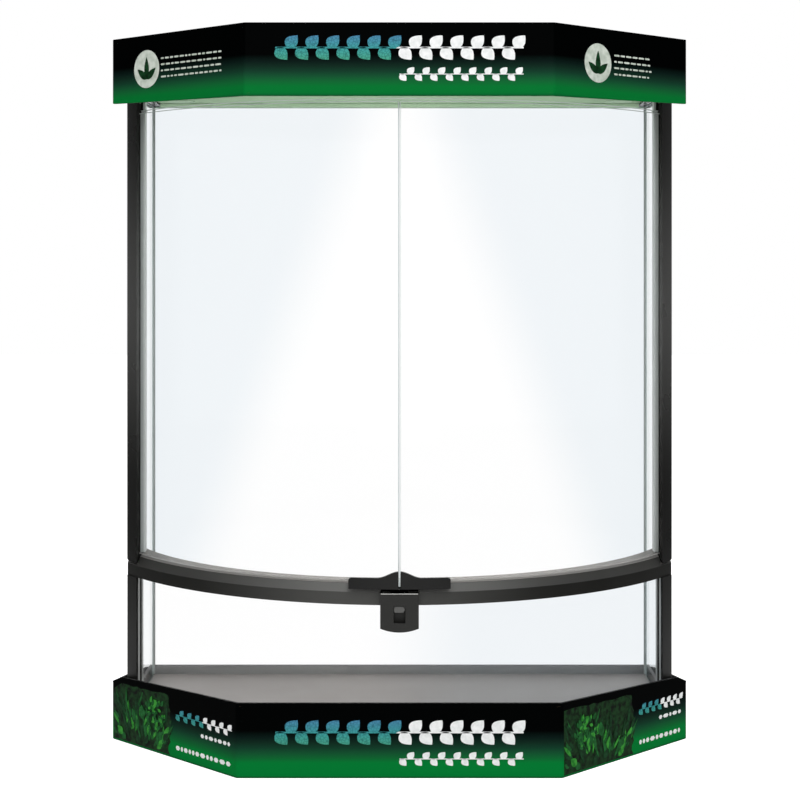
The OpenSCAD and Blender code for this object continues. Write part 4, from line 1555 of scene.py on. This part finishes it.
@dataclass(frozen=True)
class Cap(Carton):
    """The upper carton, with a pale printed disc and small print on each chamfer."""

    disc_z: float = 667.2 * MM
    disc_radius: float = 18.6 * MM
    seed: int = 3

    def disc(self, name: str, panel: Panel, share: float) -> None:
        """Prints a pale disc with a small sprout in it.

        Args:
            name: Which chamfer it is on.
            panel: The chamfer.
            share: Where its middle is, as a share of the panel's width.
        """
        u = share * panel.width
        corners = 40
        radius = self.disc_radius
        turns = [2 * math.pi * i / corners for i in range(corners)]
        ring = [(u + radius * math.cos(t), self.disc_z + radius * math.sin(t)) for t in turns]
        self.ink(name + "_disc_print", [panel.print_shape(name + "_disc_print", ring)], PALE_INK)
        sprout: list[Piece] = []
        for angle_deg, length in ((90, 22), (38, 17), (142, 17)):
            leaf = (u, self.disc_z - 10 * MM, length * MM, 7 * MM)
            outline = leaf_outline(*leaf, math.radians(angle_deg), 0.0)
            sprout.append(panel.print_shape("leaf", outline, 0.07 * MM))
        self.ink(name + "_sprout_print", sprout, DEEP_LEAF_INK)

    def build(self) -> None:
        """Builds the cap with its print."""
        super().build()
        left, _, right = self.panels()
        rng = random.Random(self.seed)
        sides = (("left", left, 0.274, 0.385, 0.84), ("right", right, 0.311, 0.43, 0.72))
        for name, panel, share, start, end in sides:
            self.disc(name, panel, share)
            row: list[Piece] = []
            for i in range(4):
                z = self.disc_z + (9 - 6 * i) * MM
                row += self.dashes(panel, [(start * panel.width, z), (end * panel.width, z)], 1.7 * MM, rng)
            self.ink(f"{name}_cap_dashes", row, PALE_INK)


@dataclass(frozen=True)
class Packing:
    """Blocks of bead foam under and over the terrarium."""

    ease: float = 1.5 * MM

    def build(self) -> None:
        """Builds both sets of blocks."""
        for node, body in (("base_foam_blocks", "enclosure"), ("top_foam_blocks", "cap")):
            moulding(node, node + "_bead", self.ease, body, "white_foam", [WHITE_FOAM], segments=3)


# ------------------------------------------------------------------ studio


@dataclass(frozen=True)
class Studio:
    """Pale floor, white surroundings, soft lamps and the camera."""

    camera_place: Vector = Vector((0.0, -1.646, 0.4866))
    focal_px: float = 1606.3
    frame_px: float = 800.0
    horizon_px: float = 253.1
    middle_px: float = 399.5
    sensor_mm: float = 36.0
    ambient: float = 0.45
    room: float = 0.12
    floor_glow: float = 0.86
    lamp_size: float = 1.4
    aim: Vector = Vector((0, 0, 0.35))

    def camera(self) -> None:
        """Adds the camera: level, with the picture shifted down to the object."""
        data = bpy.data.cameras.new("camera")
        data.sensor_width = self.sensor_mm
        data.lens = self.focal_px / self.frame_px * self.sensor_mm
        data.shift_x = (self.frame_px / 2 - self.middle_px) / self.frame_px
        data.shift_y = (self.horizon_px - self.frame_px / 2) / self.frame_px
        camera = bpy.data.objects.new("camera", data)
        camera.location = self.camera_place
        camera.rotation_euler = (math.pi / 2, 0, 0)
        bpy.context.scene.collection.objects.link(camera)
        bpy.context.scene.camera = camera

    def indirect(self, tree: Tree, operation: str) -> Node:
        """Combines the Light Path's glossy and transmission rays.

        Args:
            tree: The node tree.
            operation: MAXIMUM gives 1 for both kinds. SUBTRACT gives 1 for what is seen as a reflection and
                0 through glass, which counts as glossy too.

        Returns:
            The node of the result, from 0 to 1.
        """
        rays = add_node(tree, "LightPath").outputs
        pair = {0: rays["Is Glossy Ray"], 1: rays["Is Transmission Ray"]}
        return add_node(tree, "Math", pair, operation=operation, use_clamp=True)

    def world(self) -> None:
        """Makes the surroundings white to look at, softer as a light, and dim where the front is mirrored."""
        world = bpy.data.worlds.new("studio")
        world.use_nodes = True
        world.node_tree.nodes.clear()
        tree = world.node_tree
        aim = add_node(tree, "TexCoord").outputs["Generated"]
        behind = add_node(tree, "SeparateXYZ", {"Vector": aim}).outputs["Y"]
        rear = {"From Min": 0.45, "From Max": 0.9, "To Min": self.room, "To Max": 1.0}
        mirrored = add_node(tree, "MapRange", {"Value": behind, **rear})
        direct = add_node(tree, "LightPath").outputs["Is Camera Ray"]
        seen = add_node(tree, "Math", {0: direct, 1: self.indirect(tree, "MAXIMUM")}, operation="MAXIMUM")
        white = add_node(tree, "MapRange", {"Value": seen, "To Min": self.ambient, "To Max": 1.0})
        reflected = self.indirect(tree, "SUBTRACT")
        strength = add_node(tree, "Mix", {"Factor": reflected, "A": white, "B": mirrored})
        shine = add_node(tree, "Background", {"Color": linear("#ffffff"), "Strength": strength})
        add_node(tree, "OutputWorld", {"Surface": shine})
        bpy.context.scene.world = world

    def floor(self) -> None:
        """Lays the floor: white to look at, but it keeps the object's shadow."""
        start_object_mode()
        bpy.ops.mesh.primitive_plane_add(size=12.0, location=(0, 0, -0.2 * MM))
        ground = bpy.context.object
        ground.name = "studio_floor"
        paint = bpy.data.materials.new("studio_floor_paint")
        paint.use_nodes = True
        paint.node_tree.nodes.clear()
        tree = paint.node_tree
        white = {"Color": linear("#ffffff")}
        matt = add_node(tree, "BsdfDiffuse", {"Color": linear("#f2f2f2")})
        to_camera = add_node(tree, "LightPath").outputs["Is Camera Ray"]
        direct = add_node(tree, "Math", {0: to_camera, 1: self.floor_glow}, operation="MULTIPLY")
        glow = add_node(tree, "Emission", {**white, "Strength": direct})
        lit = add_node(tree, "AddShader", {0: matt, 1: glow})
        place = add_node(tree, "TexCoord").outputs["Object"]
        spread = add_node(tree, "Mapping", {"Vector": place, "Scale": (1.6, 1.0, 1.0)})
        away = add_node(tree, "VectorMath", {0: spread}, operation="LENGTH")
        fall = {"From Min": 0.8, "From Max": 1.6, "To Min": 1.0, "To Max": self.room}
        mirrored = add_node(tree, "MapRange", {"Value": away, **fall})
        reflected = self.indirect(tree, "SUBTRACT")
        strength = add_node(tree, "Mix", {"Factor": reflected, "A": 1.0, "B": mirrored})
        shown = add_node(tree, "Emission", {**white, "Strength": strength})
        both = add_node(tree, "MixShader", {0: self.indirect(tree, "MAXIMUM"), 1: lit, 2: shown})
        add_node(tree, "OutputMaterial", {"Surface": both})
        ground.data.materials.append(paint)

    def lamp(self, name: str, place: tuple[float, float, float], watts: float) -> None:
        """Adds a square soft lamp."""
        data = bpy.data.lights.new(name, "AREA")
        data.shape = "SQUARE"
        data.size = self.lamp_size
        data.energy = watts
        lamp = bpy.data.objects.new(name, data)
        lamp.location = place
        lamp.rotation_euler = (self.aim - Vector(place)).to_track_quat("-Z", "Y").to_euler()
        bpy.context.scene.collection.objects.link(lamp)

    def build(self) -> None:
        """Sets up the studio."""
        bpy.context.scene.view_settings.view_transform = "Standard"
        self.camera()
        self.world()
        self.floor()
        self.lamp("front_softbox", (0.0, -2.6, 1.85), 22.0)
        self.lamp("fill_softbox", (0.0, -2.7, 0.45), 12.0)
        self.lamp("top_softbox", (0.3, -0.4, 2.2), 14.0)


TRAY = Tray(
    node="tray_carton",
    body="enclosure",
    front_width=302 * MM,
    opens_up=True,
    printed=TRAY_PRINT,
    liner=TRAY_LINER,
    cut_edge=TRAY_RIM,
    teal=TRAY_TEAL,
    band_z=42.5 * MM,
    rim=[(-155 * MM, 69.5 * MM), (-46 * MM, 64 * MM), (-36 * MM, 58 * MM), (159 * MM, 22 * MM)],
)
CAP = Cap(
    node="cap_carton",
    body="cap",
    front_width=288 * MM,
    opens_up=False,
    printed=CAP_PRINT,
    liner=CAP_LINER,
    cut_edge=CAP_RIM,
    teal=CAP_TEAL,
    band_z=677 * MM,
    rim=[(-155 * MM, 632.3 * MM), (-36 * MM, 636 * MM), (-12 * MM, 643 * MM), (159 * MM, 657 * MM)],
)


def main() -> None:
    """Builds the studio and each sub-assembly in order."""
    logging.basicConfig(level=logging.INFO, format="%(name)s: %(message)s")
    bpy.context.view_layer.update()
    for part in (Studio(), PlasticFrame(), Panes(), Doors(), Latch(), Lid(), Packing(), TRAY, CAP):
        part.build()


if __name__ == "__main__":
    main()
